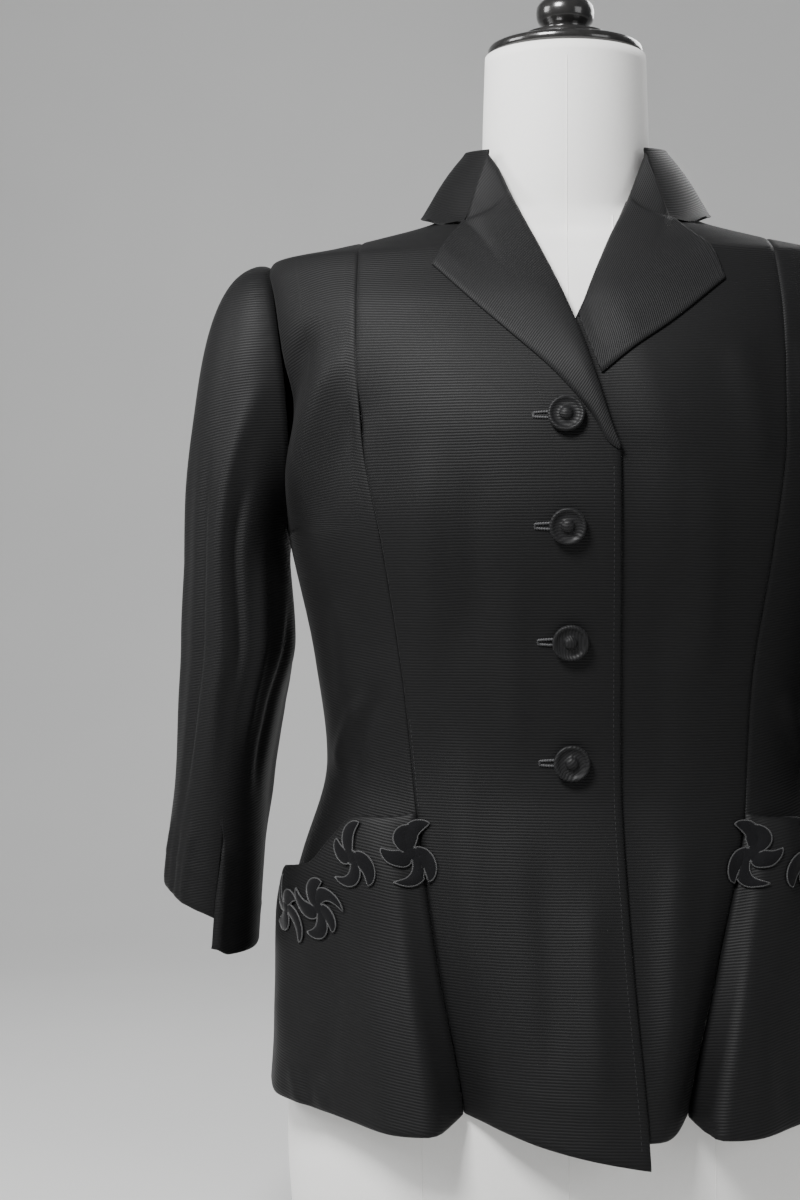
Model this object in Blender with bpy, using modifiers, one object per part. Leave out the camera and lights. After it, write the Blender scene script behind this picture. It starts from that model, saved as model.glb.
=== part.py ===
"""A fitted blazer with a flared peplum, on the limbless dress form that carries it.

Metres, +Z up. The origin is in the middle of the form's flat underside. The garment
faces -Y, so the wearer's right side is at -X. Each cut piece is one object.
"""

import math

import bmesh
import bpy
import numpy as np
from mathutils import Vector

OBJECT_NAME = "blazer_on_dress_form"

# Cloth and the gaps between pieces
WALL = 0.0012
SEAM_GAP = 0.0004
VALLEY_GAP = 0.0026
LAYER = WALL + 0.0007
UNDERLAP = 0.0032
UNDERLAP_RAMP = 0.034

# Heights of the main lines of the garment
FLARE_TOP = 0.345
HEM_LEVEL = 0.140
UNDERARM = 0.515
SHOULDER_TIP = 0.6955

# The jacket's rings without its flare:
# height, half width, front depth, back depth, squareness
JACKET = (
    (0.110, 0.1915, 0.1295, 0.1330, 2.15),
    (0.200, 0.1885, 0.1275, 0.1280, 2.15),
    (0.288, 0.1790, 0.1215, 0.1160, 2.15),
    (0.363, 0.1610, 0.1170, 0.0950, 2.10),
    (0.430, 0.1690, 0.1250, 0.0980, 2.10),
    (0.533, 0.1900, 0.1430, 0.1110, 2.20),
    (0.570, 0.1935, 0.1410, 0.1150, 2.25),
    (0.610, 0.1970, 0.1320, 0.1155, 2.40),
    (0.658, 0.2005, 0.1080, 0.1070, 2.80),
    (0.684, 0.2015, 0.0880, 0.0930, 2.90),
    (0.6955, 0.1980, 0.0790, 0.0840, 2.80),
    (0.703, 0.1660, 0.0725, 0.0770, 2.50),
    (0.710, 0.1360, 0.0670, 0.0715, 2.30),
    (0.722, 0.0930, 0.0600, 0.0650, 2.10),
    (0.738, 0.0620, 0.0570, 0.0610, 2.00),
    (0.780, 0.0600, 0.0560, 0.0590, 2.00),
)

# The dress form's rings, from its flat underside to the top of its neck
FORM = (
    (0.000, 0.1740, 0.1130, 0.1230, 2.15),
    (0.012, 0.1790, 0.1170, 0.1270, 2.15),
    (0.060, 0.1850, 0.1215, 0.1300, 2.15),
    (0.110, 0.1880, 0.1250, 0.1290, 2.15),
    (0.200, 0.1845, 0.1225, 0.1235, 2.15),
    (0.288, 0.1710, 0.1140, 0.1085, 2.15),
    (0.363, 0.1500, 0.1060, 0.0865, 2.10),
    (0.430, 0.1570, 0.1135, 0.0890, 2.10),
    (0.533, 0.1780, 0.1350, 0.1030, 2.20),
    (0.570, 0.1810, 0.1330, 0.1070, 2.25),
    (0.610, 0.1830, 0.1240, 0.1075, 2.40),
    (0.655, 0.1820, 0.1010, 0.0990, 2.70),
    (0.677, 0.1740, 0.0825, 0.0855, 2.70),
    (0.689, 0.1610, 0.0735, 0.0775, 2.60),
    (0.6972, 0.1450, 0.0675, 0.0720, 2.40),
    (0.7055, 0.1250, 0.0630, 0.0675, 2.25),
    (0.7160, 0.0885, 0.0555, 0.0600, 2.10),
    (0.7300, 0.0590, 0.0530, 0.0570, 2.00),
    (0.750, 0.0570, 0.0540, 0.0565, 2.00),
    (0.800, 0.0556, 0.0550, 0.0556, 2.00),
    (0.837, 0.0544, 0.0544, 0.0544, 2.00),
)

# Front princess seams: height, distance from the middle on the wearer's right, on the left
FRONT_PRINCESS = (
    (0.120, 0.064, 0.071),
    (0.150, 0.066, 0.074),
    (0.240, 0.082, 0.093),
    (0.337, 0.0965, 0.1125),
    (0.4135, 0.1045, 0.1160),
    (0.501, 0.1170, 0.1280),
    (0.5755, 0.1310, 0.1365),
    (0.640, 0.1350, 0.1360),
    (0.720, 0.1360, 0.1310),
)
# Back princess seams: height, distance from the middle
BACK_PRINCESS = (
    (0.120, 0.083),
    (0.240, 0.077),
    (0.363, 0.070),
    (0.501, 0.088),
    (0.600, 0.104),
    (0.720, 0.112),
)
# Edge of the upper (right) front: height, place across; above 0.561 it is its roll line
RIGHT_EDGE = (
    (0.120, 0.0440),
    (0.150, 0.0430),
    (0.250, 0.0370),
    (0.363, 0.0325),
    (0.561, 0.0316),
    (0.5756, 0.0265),
    (0.608, 0.0163),
    (0.644, 0.0040),
    (0.6826, -0.0120),
    (0.7295, -0.0330),
    (0.745, -0.0400),
)
# Edge of the under (left) front, hidden up to the crossing, then its roll line
LEFT_EDGE = (
    (0.120, -0.0200),
    (0.363, -0.0200),
    (0.561, -0.0180),
    (0.600, -0.0095),
    (0.644, 0.0035),
    (0.670, 0.0144),
    (0.7027, 0.0271),
    (0.7295, 0.0385),
    (0.745, 0.0450),
)

# Hem heights. Centre fronts: share from front edge to princess seam, right, left
FRONT_HEM = (
    (0.00, 0.1240, 0.1370),
    (0.25, 0.1290, 0.1375),
    (0.50, 0.1350, 0.1390),
    (0.80, 0.1440, 0.1400),
    (1.00, 0.1500, 0.1500),
)
# The other panels: share across the panel, height
SIDE_HEM = (
    (0.00, 0.1500),
    (0.10, 0.1410),
    (0.20, 0.1400),
    (0.45, 0.1430),
    (0.70, 0.1440),
    (1.00, 0.1450),
)
BACK_SIDE_HEM = (
    (0.00, 0.1450),
    (0.50, 0.1410),
    (1.00, 0.1460),
)
BACK_HEM = (
    (0.00, 0.1460),
    (0.50, 0.1360),
    (1.00, 0.1460),
)

# The peplum's flare at the hem: share across the panel, distance out, distance along the ring
# towards the panel's far seam
SIDE_FLARE = (
    (0.00, 0.0000, 0.0000),
    (0.06, 0.0150, -0.0080),
    (0.13, 0.0300, -0.0180),
    (0.21, 0.0300, -0.0200),
    (0.36, 0.0195, -0.0150),
    (0.52, 0.0140, -0.0100),
    (0.68, 0.0150, -0.0060),
    (0.84, 0.0090, -0.0030),
    (1.00, 0.0050, 0.0000),
)
BACK_SIDE_FLARE = (
    (0.00, 0.0050, 0.0000),
    (0.20, 0.0150, 0.0000),
    (0.42, 0.0120, 0.0000),
    (0.66, 0.0240, 0.0000),
    (0.84, 0.0190, 0.0000),
    (1.00, 0.0040, 0.0000),
)
BACK_FLARE = (
    (0.00, 0.0040, 0.0000),
    (0.11, 0.0180, 0.0000),
    (0.28, 0.0260, 0.0000),
    (0.50, 0.0190, 0.0000),
    (0.72, 0.0260, 0.0000),
    (0.89, 0.0180, 0.0000),
    (1.00, 0.0040, 0.0000),
)
# Centre fronts: share of the way from the middle to a princess seam, negative on the
# wearer's right, and the distance out at the hem
FRONT_FLARE = (
    (-1.00, 0.0000),
    (-0.83, 0.0050),
    (-0.60, 0.0140),
    (-0.22, 0.0240),
    (0.27, 0.0295),
    (0.66, 0.0300),
    (0.83, 0.0215),
    (1.00, 0.0000),
)

# Armhole, seen from the side: its middle height, half height, half depths, squareness
ARMHOLE_MIDDLE = 0.6045
ARMHOLE_HALF_HEIGHT = 0.0900
ARMHOLE_FRONT = 0.0610
ARMHOLE_BACK = 0.0670
ARMHOLE_SQUARE = 2.3
ARMHOLE_GAP = 0.0012

# Sleeve below the armhole: height, distance of its middle from the garment's middle,
# half width, forward shift, half depth
SLEEVE = (
    (0.495, 0.2218, 0.0330, 0.0000, 0.0690),
    (0.443, 0.2210, 0.0360, -0.0010, 0.0680),
    (0.400, 0.2265, 0.0325, -0.0020, 0.0650),
    (0.350, 0.2325, 0.0305, -0.0040, 0.0600),
    (0.300, 0.2375, 0.0320, -0.0050, 0.0565),
    (0.230, 0.2430, 0.0330, -0.0060, 0.0545),
)
# Cuff hem: share round the sleeve from the vent over the inner side, height
SLEEVE_HEM = (
    (0.00, 0.2410),
    (0.05, 0.2360),
    (0.25, 0.2360),
    (0.50, 0.2600),
    (0.75, 0.2810),
    (0.90, 0.2700),
    (1.00, 0.2600),
)
CAP_FOOT = 0.495
SLEEVE_SQUARE = 2.2
VENT_TOP = 0.312
VENT_TURN = math.radians(108)
VENT_LIFT = 0.0026
VENT_OVERLAP = 0.0030
HEAD_REACH = 0.15
HEAD_DROP = 0.25

# Hip pocket: share from princess seam to side seam, height of its open top edge
POCKET_TOP = (
    (0.00, 0.3350),
    (0.10, 0.3310),
    (0.17, 0.3294),
    (0.30, 0.3280),
    (0.42, 0.3140),
    (0.56, 0.2960),
    (0.80, 0.2905),
    (1.00, 0.2870),
)
POCKET_GAPE = 0.0090
POCKET_GAPE_DEPTH = 0.090
POCKET_EDGE_GAPE = 0.0045
POCKET_SEAM = 0.0030

# Lapels, seen from the front: outline points as place across, height
RIGHT_LAPEL_EDGE = (
    (0.0306, 0.5625),
    (0.0247, 0.5665),
    (0.0145, 0.5830),
    (0.0030, 0.5980),
    (-0.0116, 0.6140),
    (-0.0346, 0.6350),
    (-0.0575, 0.6560),
    (-0.0870, 0.6850),
)
RIGHT_LAPEL_ROLL = (
    (0.0314, 0.5640),
    (0.0268, 0.5750),
    (0.0163, 0.6080),
    (0.0040, 0.6440),
    (-0.0120, 0.6826),
    (-0.0330, 0.7280),
    (-0.0440, 0.7530),
    (-0.0520, 0.7655),
)
RIGHT_LAPEL_TOP = (
    (-0.0520, 0.7655),
    (-0.0595, 0.7430),
    (-0.0665, 0.7165),
    (-0.0775, 0.7010),
    (-0.0870, 0.6850),
)
LEFT_LAPEL_EDGE = (
    (0.0200, 0.6105),
    (0.0410, 0.6275),
    (0.0643, 0.6440),
    (0.0990, 0.6730),
)
LEFT_LAPEL_ROLL = (
    (0.0062, 0.6480),
    (0.0144, 0.6700),
    (0.0271, 0.7027),
    (0.0385, 0.7280),
    (0.0480, 0.7530),
    (0.0525, 0.7655),
)
LEFT_LAPEL_TOP = (
    (0.0525, 0.7655),
    (0.0600, 0.7420),
    (0.0680, 0.7165),
    (0.0790, 0.7050),
    (0.0920, 0.6930),
    (0.0990, 0.6730),
)
LEFT_LAPEL_FOOT = (
    (0.0062, 0.6480),
    (0.0125, 0.6300),
    (0.0200, 0.6105),
)
LAPEL_SPRING = 0.0030
LEFT_LAPEL_FOOT_SPRING = 0.0004
# Above the chest the lapels lean back to the neck: height, distance in front of its middle
LAPEL_LEAN = (
    (0.700, 0.0300),
    (0.717, 0.0525),
    (0.740, 0.0445),
    (0.766, 0.0370),
)

# Collar, one half, from the middle of the back (share 0) to its front end (share 1):
# share, turn from the back in degrees, distance from the neck's middle, height
COLLAR_SEAM = (
    (0.00, 0, 0.0614, 0.7545),
    (0.30, 37, 0.0614, 0.7515),
    (0.60, 72, 0.0620, 0.7440),
    (0.85, 97, 0.0622, 0.7410),
    (1.00, 112, 0.0622, 0.7412),
)
COLLAR_ROLL = (
    (0.00, 0, 0.0625, 0.7830),
    (0.30, 38, 0.0630, 0.7810),
    (0.60, 75, 0.0630, 0.7735),
    (0.85, 103, 0.0635, 0.7680),
    (1.00, 123, 0.0648, 0.7640),
)
COLLAR_FALL = (
    (0.00, 0, 0.0780, 0.7640),
    (0.30, 37, 0.0800, 0.7630),
    (0.60, 72, 0.0835, 0.7560),
    (0.85, 104, 0.0850, 0.7440),
    (1.00, 125, 0.0845, 0.7210),
)
COLLAR_EDGE = (
    (0.00, 0, 0.0850, 0.7420),
    (0.30, 34, 0.0900, 0.7400),
    (0.60, 64, 0.0970, 0.7340),
    (0.85, 90, 0.0985, 0.7290),
    (1.00, 109, 0.0980, 0.7225),
)
COLLAR_ROLL_RADIUS = 0.0027

# Buttons: place across, height, distance off the cloth
BUTTONS = (
    (-0.002, 0.5840, 0.0006),
    (-0.001, 0.5155, 0.0006),
    (0.001, 0.4440, 0.0006),
    (0.002, 0.3680, 0.0011),
)
# Profile of a button: radius, height
BUTTON_PROFILE = (
    (0.0000, 0.0056),
    (0.0030, 0.0050),
    (0.0043, 0.0032),
    (0.0075, 0.0030),
    (0.0098, 0.0044),
    (0.0112, 0.0040),
    (0.0115, 0.0022),
    (0.0104, 0.0002),
    (0.0000, 0.0000),
)

# Velvet whorls on the hip pockets: distance from the princess seam along the cloth, height,
# radius, lobes, turn in degrees. The first crosses the seam onto the centre front
WHORLS = (
    (0.0060, 0.3090, 0.0195, 4, 20),
    (0.0430, 0.3030, 0.0170, 3, 75),
    (0.0800, 0.2700, 0.0180, 4, 40),
    (0.1150, 0.2660, 0.0165, 3, 10),
)
WHORL_THICKNESS = 0.0016
WHORL_GAP = 0.0011
WHORL_CORE = 0.45
WHORL_SWIRL = math.radians(56)

# The form's turned cap: radius, height above the neck
CAP_PROFILE = (
    (0.0000, 0.0680),
    (0.0085, 0.0660),
    (0.0135, 0.0590),
    (0.0130, 0.0520),
    (0.0085, 0.0455),
    (0.0135, 0.0400),
    (0.0195, 0.0320),
    (0.0185, 0.0240),
    (0.0150, 0.0190),
    (0.0290, 0.0150),
    (0.0300, 0.0110),
    (0.0480, 0.0080),
    (0.0520, 0.0055),
    (0.0520, 0.0010),
    (0.0505, 0.0000),
    (0.0000, 0.0000),
)
CAP_GAP = 0.0003

# Mesh density of the solids
PANEL_ROWS = 21
DENSE = 260
SLEEVE_AROUND = 22
CAP_ROWS = 8
ARM_ROWS = 8
FORM_AROUND = 32
TURNED_STEPS = 16


class Curve:
    """A smooth curve through (place, value) rows that never overshoots them."""

    def __init__(self, places, values):
        order = np.argsort(places)
        self.places = np.asarray(places, float)[order]
        self.values = np.asarray(values, float)[order]
        steps = np.diff(self.places)
        slopes = np.diff(self.values) / steps
        self.tangents = np.empty(len(self.places))
        self.tangents[0] = slopes[0]
        self.tangents[-1] = slopes[-1]
        for row in range(1, len(slopes)):
            before, after = slopes[row - 1], slopes[row]
            turns_back = before * after <= 0
            self.tangents[row] = 0 if turns_back else 2 * before * after / (before + after)

    def __call__(self, at):
        at = np.clip(at, self.places[0], self.places[-1])
        row = np.clip(np.searchsorted(self.places, at) - 1, 0, len(self.places) - 2)
        span = self.places[row + 1] - self.places[row]
        share = (at - self.places[row]) / span
        rest = 1 - share
        start = (1 + 2 * share) * rest**2 * self.values[row]
        start_slope = share * rest**2 * span * self.tangents[row]
        end = share**2 * (3 - 2 * share) * self.values[row + 1]
        end_slope = -(share**2) * rest * span * self.tangents[row + 1]
        return start + start_slope + end + end_slope


def column_curve(rows, column):
    """The curve of one column of a table against its first column."""
    return Curve([row[0] for row in rows], [row[column] for row in rows])


def ease(value):
    """A soft step from 0 to 1."""
    value = np.clip(value, 0, 1)
    return value * value * (3 - 2 * value)


class Rings:
    """A body given by rings: half width, front and back depth and squareness by height."""

    def __init__(self, rows):
        self.width = column_curve(rows, 1)
        self.front = column_curve(rows, 2)
        self.back = column_curve(rows, 3)
        self.square = column_curve(rows, 4)

    def depth(self, across, height, face):
        """Distance from the middle plane to the front (face -1) or back (face 1)."""
        square = self.square(height)
        reach = self.front(height) if face < 0 else self.back(height)
        share = np.clip(np.abs(across) / self.width(height), 0, 1)
        return reach * (1 - share**square) ** (1 / square)

    def across(self, turn, height):
        """Distance across of a point at a turn from the side towards the front or back."""
        return self.width(height) * np.cos(turn) ** (2 / self.square(height))

    def turn(self, across, height):
        """The turn from the side of a point at a distance across."""
        share = np.clip(np.abs(across) / self.width(height), 0, 1)
        return np.arccos(share ** (self.square(height) / 2))


jacket = Rings(JACKET)
form = Rings(FORM)


def ridge_height(across):
    """Height of the shoulder seam, or of the neckline nearer the neck."""
    heights = np.linspace(SHOULDER_TIP - 0.006, 0.7381, 400)
    widths = jacket.width(heights)
    shoulder = np.interp(-np.abs(across), -widths, heights)
    return shoulder


def front_neckline(across):
    """Height of the front's neckline between the roll line and the shoulder seam."""
    return 0.7295 + np.clip((np.abs(across) - 0.033) / 0.029, 0, 1) * 0.0085


def back_neckline(across):
    """Height of the back's neckline."""
    return 0.7525 - 0.0145 * ease(np.abs(across) / 0.062)


def armhole_depth(height, face):
    """Distance of the armhole's edge from the shoulder plane at a height."""
    share = np.clip(np.abs(height - ARMHOLE_MIDDLE) / ARMHOLE_HALF_HEIGHT, 0, 1)
    reach = ARMHOLE_FRONT if face < 0 else ARMHOLE_BACK
    return reach * (1 - share**ARMHOLE_SQUARE) ** (1 / ARMHOLE_SQUARE)


def armhole_across(height, face):
    """Distance across of the armhole's edge, or of the side seam below it."""
    reach = jacket.front(height) if face < 0 else jacket.back(height)
    square = jacket.square(height)
    share = np.clip(armhole_depth(height, face) / reach, 0, 1)
    edge = jacket.width(height) * (1 - share**square) ** (1 / square)
    side = jacket.width(height)
    tip = jacket.width(SHOULDER_TIP)
    return np.where(height > SHOULDER_TIP, tip, np.where(height < UNDERARM, side, edge))


class Panel:
    """A cut piece of the body, from its hem up to the neck, shoulder and armhole."""

    def __init__(self, side, face, inner, outer, hem, flare, top, flare_by_place=None, under=False):
        self.side = side
        self.face = face
        self.inner = inner
        self.outer = outer
        self.hem = hem
        self.flare_out = column_curve(flare, 1)
        self.flare_along = column_curve(flare, 2) if len(flare[0]) > 2 else None
        self.top = top
        self.flare_by_place = flare_by_place
        self.under = under

    def across(self, share, height):
        """Distance across, signed along the panel's side."""
        start = self.inner(height)
        end = self.outer(height)
        straight = start + (end - start) * share
        if self.flare_by_place is not None or self.side == 0:
            return straight
        around = jacket.turn(start, height) * (1 - share) + jacket.turn(end, height) * share
        mix = ease((height - 0.55) / 0.07)
        turn = around * (1 - mix) + jacket.turn(straight, height) * mix
        return jacket.across(turn, height)

    def surface(self, share, height):
        """Points of the cloth's middle surface, one for each height."""
        height = np.asarray(height, float)
        across = self.across(share, height)
        depth = jacket.depth(across, height, self.face)
        side = self.side if self.side else 1
        x = side * across
        y = self.face * depth
        reach = jacket.front(height) if self.face < 0 else jacket.back(height)
        normal_x = x / jacket.width(height) ** 2
        normal_y = y / reach**2
        length = np.hypot(normal_x, normal_y) + 1e-9
        normal_x, normal_y = normal_x / length, normal_y / length
        weight = np.clip((FLARE_TOP - height) / (FLARE_TOP - HEM_LEVEL), 0, 1.1) ** 1.15
        if self.flare_by_place is not None:
            right_share = x / column_curve(FRONT_PRINCESS, 1)(height)
            left_share = x / column_curve(FRONT_PRINCESS, 2)(height)
            out = self.flare_out(np.where(x < 0, right_share, left_share)) * weight
        else:
            out = self.flare_out(share) * weight
        if self.under:
            over = column_curve(RIGHT_EDGE, 1)(height)
            out = out - UNDERLAP * (1 - ease((x - over - 0.004) / UNDERLAP_RAMP))
        x = x + normal_x * out
        y = y + normal_y * out
        if self.flare_along is not None:
            along = self.flare_along(share) * weight
            turn = -self.face * side if self.side else -self.face
            x = x - normal_y * along * turn * self.along_sign()
            y = y + normal_x * along * turn * self.along_sign()
        return np.stack([x, y, height], axis=-1)

    def along_sign(self):
        """1 where growing share runs from the middle to the side, -1 the other way."""
        low = float(np.ravel(self.inner(np.array([0.2])))[0])
        high = float(np.ravel(self.outer(np.array([0.2])))[0])
        return 1 if high > low else -1

    def top_height(self, share):
        """Height where a column of the panel meets its top edge."""
        height = SHOULDER_TIP
        for _ in range(30):
            start = float(self.inner(np.array(height)))
            end = float(self.outer(np.array(height)))
            height = float(self.top(start + (end - start) * share))
        return height

    def column(self, share, rows):
        """A column of points from hem to top, even along its length."""
        bottom = float(self.hem(share))
        top = self.top_height(share)
        rise = 1 - (1 - np.linspace(0, 1, DENSE)) ** 2
        points = self.surface(share, bottom + (top - bottom) * rise)
        lengths = np.concatenate([[0], np.cumsum(np.linalg.norm(np.diff(points, axis=0), axis=1))])
        wanted = lengths[-1] * (1 - (1 - np.linspace(0, 1, rows)) ** 1.5)
        return np.stack([np.interp(wanted, lengths, points[:, axis]) for axis in range(3)], axis=-1)

    def grid(self, shares, rows):
        return np.array([self.column(share, rows) for share in shares])

    def point(self, share, height, out):
        """A point that lies off the cloth by a distance along its outward normal."""
        step = 0.002
        heights = np.array([height - step, height, height + step])
        low, here, high = self.surface(share, heights)
        beside = (self.surface(min(1, share + 0.01), heights)[1]
                  - self.surface(max(0, share - 0.01), heights)[1])
        normal = np.cross(beside, high - low)
        normal /= np.linalg.norm(normal)
        if np.dot(normal, (here[0], here[1], 0)) < 0:
            normal = -normal
        return here + normal * out, normal


def constant(value):
    return lambda height: np.zeros_like(np.asarray(height, float)) + value


def make_panels():
    """The seven panels of the body."""
    right_seam = column_curve(FRONT_PRINCESS, 1)
    left_seam = column_curve(FRONT_PRINCESS, 2)
    back_seam = column_curve(BACK_PRINCESS, 1)
    right_edge = column_curve(RIGHT_EDGE, 1)
    left_edge = column_curve(LEFT_EDGE, 1)

    def front_top(across):
        return np.where(np.abs(across) < 0.062, front_neckline(across), ridge_height(across))

    def back_top(across):
        return np.where(np.abs(across) < 0.062, back_neckline(across), ridge_height(across))

    side_front = lambda height: armhole_across(height, -1)
    side_back = lambda height: armhole_across(height, 1)
    panels = {
        "front_right_centre": Panel(-1, -1, lambda h: -right_edge(h), right_seam,
                                    column_curve(FRONT_HEM, 1), FRONT_FLARE, front_top, 1),
        "front_left_centre": Panel(1, -1, left_edge, left_seam,
                                   column_curve(FRONT_HEM, 2), FRONT_FLARE, front_top, 1, True),
        "front_right_side": Panel(-1, -1, right_seam, side_front,
                                  column_curve(SIDE_HEM, 1), SIDE_FLARE, ridge_height),
        "front_left_side": Panel(1, -1, left_seam, side_front,
                                 column_curve(SIDE_HEM, 1), SIDE_FLARE, ridge_height),
        "back_right_side": Panel(-1, 1, side_back, back_seam,
                                 column_curve(BACK_SIDE_HEM, 1), BACK_SIDE_FLARE, ridge_height),
        "back_left_side": Panel(1, 1, side_back, back_seam,
                                column_curve(BACK_SIDE_HEM, 1), BACK_SIDE_FLARE, ridge_height),
        "back_centre": Panel(0, 1, lambda h: -back_seam(h), back_seam,
                             column_curve(BACK_HEM, 1), BACK_FLARE, back_top),
    }
    return panels


PANELS = make_panels()


def new_material(name, colour, roughness, metallic=0.0):
    material = bpy.data.materials.new(name)
    material.use_nodes = True
    shader = material.node_tree.nodes["Principled BSDF"]
    shader.inputs["Base Color"].default_value = (*colour, 1)
    shader.inputs["Roughness"].default_value = roughness
    shader.inputs["Metallic"].default_value = metallic
    material.diffuse_color = (*colour, 1)
    return material


def link(name, mesh, material):
    """Put a mesh in the object's collection under its node's name."""
    thing = bpy.data.objects.new(name, mesh)
    collection.objects.link(thing)
    thing.data.materials.append(material)
    return thing


def sheet(name, points, material, wall=WALL, weld=False):
    """A cloth wall about a grid of points, its thickness half to each side."""
    columns, rows = points.shape[:2]
    mesh = bmesh.new()
    bmesh.ops.create_grid(mesh, x_segments=columns - 1, y_segments=rows - 1, size=1)
    for vertex in mesh.verts:
        column = round((vertex.co.x + 1) / 2 * (columns - 1))
        row = round((vertex.co.y + 1) / 2 * (rows - 1))
        vertex.co = Vector(points[column, row])
    if weld:
        bmesh.ops.remove_doubles(mesh, verts=mesh.verts, dist=1e-6)
    data = bpy.data.meshes.new(name)
    mesh.to_mesh(data)
    mesh.free()
    data.shade_smooth()
    thing = link(name, data, material)
    solidify = thing.modifiers.new("Wall", "SOLIDIFY")
    solidify.thickness = wall
    solidify.offset = 0
    return thing


def pull_back(points, first=0.0, last=0.0, bottom=0.0, top=0.0):
    """Draw a grid's edges in along the cloth, by distances or by one for each row."""
    points = points.copy()
    for edge, beside, amount in ((0, 1, first), (-1, -2, last)):
        step = points[beside] - points[edge]
        step /= np.linalg.norm(step, axis=1, keepdims=True) + 1e-12
        points[edge] += step * np.reshape(amount, (-1, 1))
    for edge, beside, amount in ((0, 1, bottom), (-1, -2, top)):
        step = points[:, beside] - points[:, edge]
        step /= np.linalg.norm(step, axis=1, keepdims=True) + 1e-12
        points[:, edge] += step * amount
    return points


def seam_gaps(column):
    """Half the seam's gap for each row, wider down in the flare's valleys."""
    flare = ease((FLARE_TOP - column[:, 2]) / (FLARE_TOP - HEM_LEVEL))
    return SEAM_GAP / 2 + (VALLEY_GAP - SEAM_GAP) / 2 * flare


def armhole_gaps(column):
    """The armhole's gap above the underarm and the side seam's below it."""
    above = column[:, 2] > UNDERARM - 0.004
    return np.where(above, ARMHOLE_GAP, SEAM_GAP / 2)


def build_panels(cloth):
    shares = {
        "front_right_centre": np.linspace(0, 1, 10),
        "front_left_centre": np.linspace(0, 1, 9),
        "side": np.array([0, 0.05, 0.12, 0.2, 0.33, 0.47, 0.61, 0.75, 0.88, 1]),
        "back_side": np.array([0, 0.14, 0.3, 0.46, 0.62, 0.78, 0.9, 1]),
        "back_centre": np.array([0, 0.07, 0.17, 0.28, 0.39, 0.5, 0.61, 0.72, 0.83, 0.93, 1]),
    }
    for name, panel in PANELS.items():
        kind = "side" if name.endswith("_side") else name
        kind = "back_side" if name.startswith("back_") and name.endswith("_side") else kind
        grid = panel.grid(shares[kind], PANEL_ROWS)
        if kind == "side":
            first, last = seam_gaps(grid[0]), armhole_gaps(grid[-1])
        elif kind == "back_side":
            first, last = armhole_gaps(grid[0]), seam_gaps(grid[-1])
        elif kind == "back_centre":
            first, last = seam_gaps(grid[0]), seam_gaps(grid[-1])
        else:
            first, last = 0.0, seam_gaps(grid[-1])
        grid = pull_back(grid, first, last, 0, SEAM_GAP / 2)
        sheet(name, grid, cloth)


def pocket_out(share, height):
    """How far a pocket stands off its side front, most along its open edge."""
    depth = float(column_curve(POCKET_TOP, 1)(share)) - height
    gape = POCKET_GAPE * float(ease(share / 0.25))
    gape += (POCKET_EDGE_GAPE - POCKET_GAPE) * float(ease((share - 0.8) / 0.2))
    return LAYER + gape * float(ease(1 - depth / POCKET_GAPE_DEPTH))


def build_pockets(cloth):
    """Hip pockets made from the side fronts' points, moved out."""
    shares = np.array([0, 0.05, 0.12, 0.2, 0.3, 0.4, 0.52, 0.64, 0.76, 0.88, 1])
    rows = 9
    for word in ("right", "left"):
        panel = PANELS[f"front_{word}_side"]
        points = np.empty((len(shares), rows, 3))
        for column, share in enumerate(shares):
            low = float(panel.hem(share))
            high = float(column_curve(POCKET_TOP, 1)(share))
            for row, height in enumerate(np.linspace(low, high, rows)):
                points[column, row] = panel.point(share, height, pocket_out(share, height))[0]
        gaps = seam_gaps(points[0]) + POCKET_SEAM
        points = pull_back(points, gaps, LAYER)
        sheet(f"pocket_{word}", points, cloth)


def hip_point(word, along, height, lift):
    """A point over the hip: a distance from the princess seam along the cloth, on either side."""
    side_front = PANELS[f"front_{word}_side"]
    if along >= 0:
        shares = np.linspace(0, 1, 60)
        edge = np.array([side_front.surface(share, np.array([height]))[0] for share in shares])
        lengths = np.concatenate([[0], np.cumsum(np.linalg.norm(np.diff(edge, axis=0), axis=1))])
        share = float(np.interp(along, lengths, shares))
        return side_front.point(share, height, lift + pocket_out(share, height))[0]
    centre = PANELS[f"front_{word}_centre"]
    start = centre.surface(1.0, np.array([height]))[0]
    width = np.linalg.norm(centre.surface(0.9, np.array([height]))[0] - start) / 0.1
    fall = LAYER * float(ease(1 + along / 0.006))
    return centre.point(1 + along / width, height, lift + fall)[0]


def build_whorls(velvet):
    """Raised velvet whorls of curved lobes along each pocket's top."""
    around = 28
    rings = np.array([0.0, 0.55, 1.0])
    for word, side in (("right", -1), ("left", 1)):
        for number, (along, height, radius, lobes, turn) in enumerate(WHORLS, start=1):
            points = np.empty((around, len(rings), 3))
            for column, angle in enumerate(np.linspace(0, 2 * math.pi, around)):
                petal = abs(math.cos(lobes * angle / 2)) ** 1.3
                edge = radius * (WHORL_CORE + (1 - WHORL_CORE) * petal)
                for row, ring in enumerate(rings):
                    reach = edge * ring
                    swirl = angle + math.radians(turn) + WHORL_SWIRL * (reach / radius) ** 2
                    over = along + reach * math.cos(swirl)
                    up = height + reach * math.sin(swirl)
                    lift = WALL / 2 + WHORL_GAP + WHORL_THICKNESS / 2
                    points[column, row] = hip_point(word, over, up, lift)
            points[-1] = points[0]
            sheet(f"applique_{word}_{number}", points, velvet, WHORL_THICKNESS, weld=True)


def polyline(rows, share):
    """A point on a chain of outline points, by share of its length."""
    rows = np.array(rows)
    lengths = np.concatenate([[0], np.cumsum(np.linalg.norm(np.diff(rows, axis=0), axis=1))])
    at = share * lengths[-1]
    return np.array([Curve(lengths, rows[:, axis])(at) for axis in range(2)])


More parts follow.
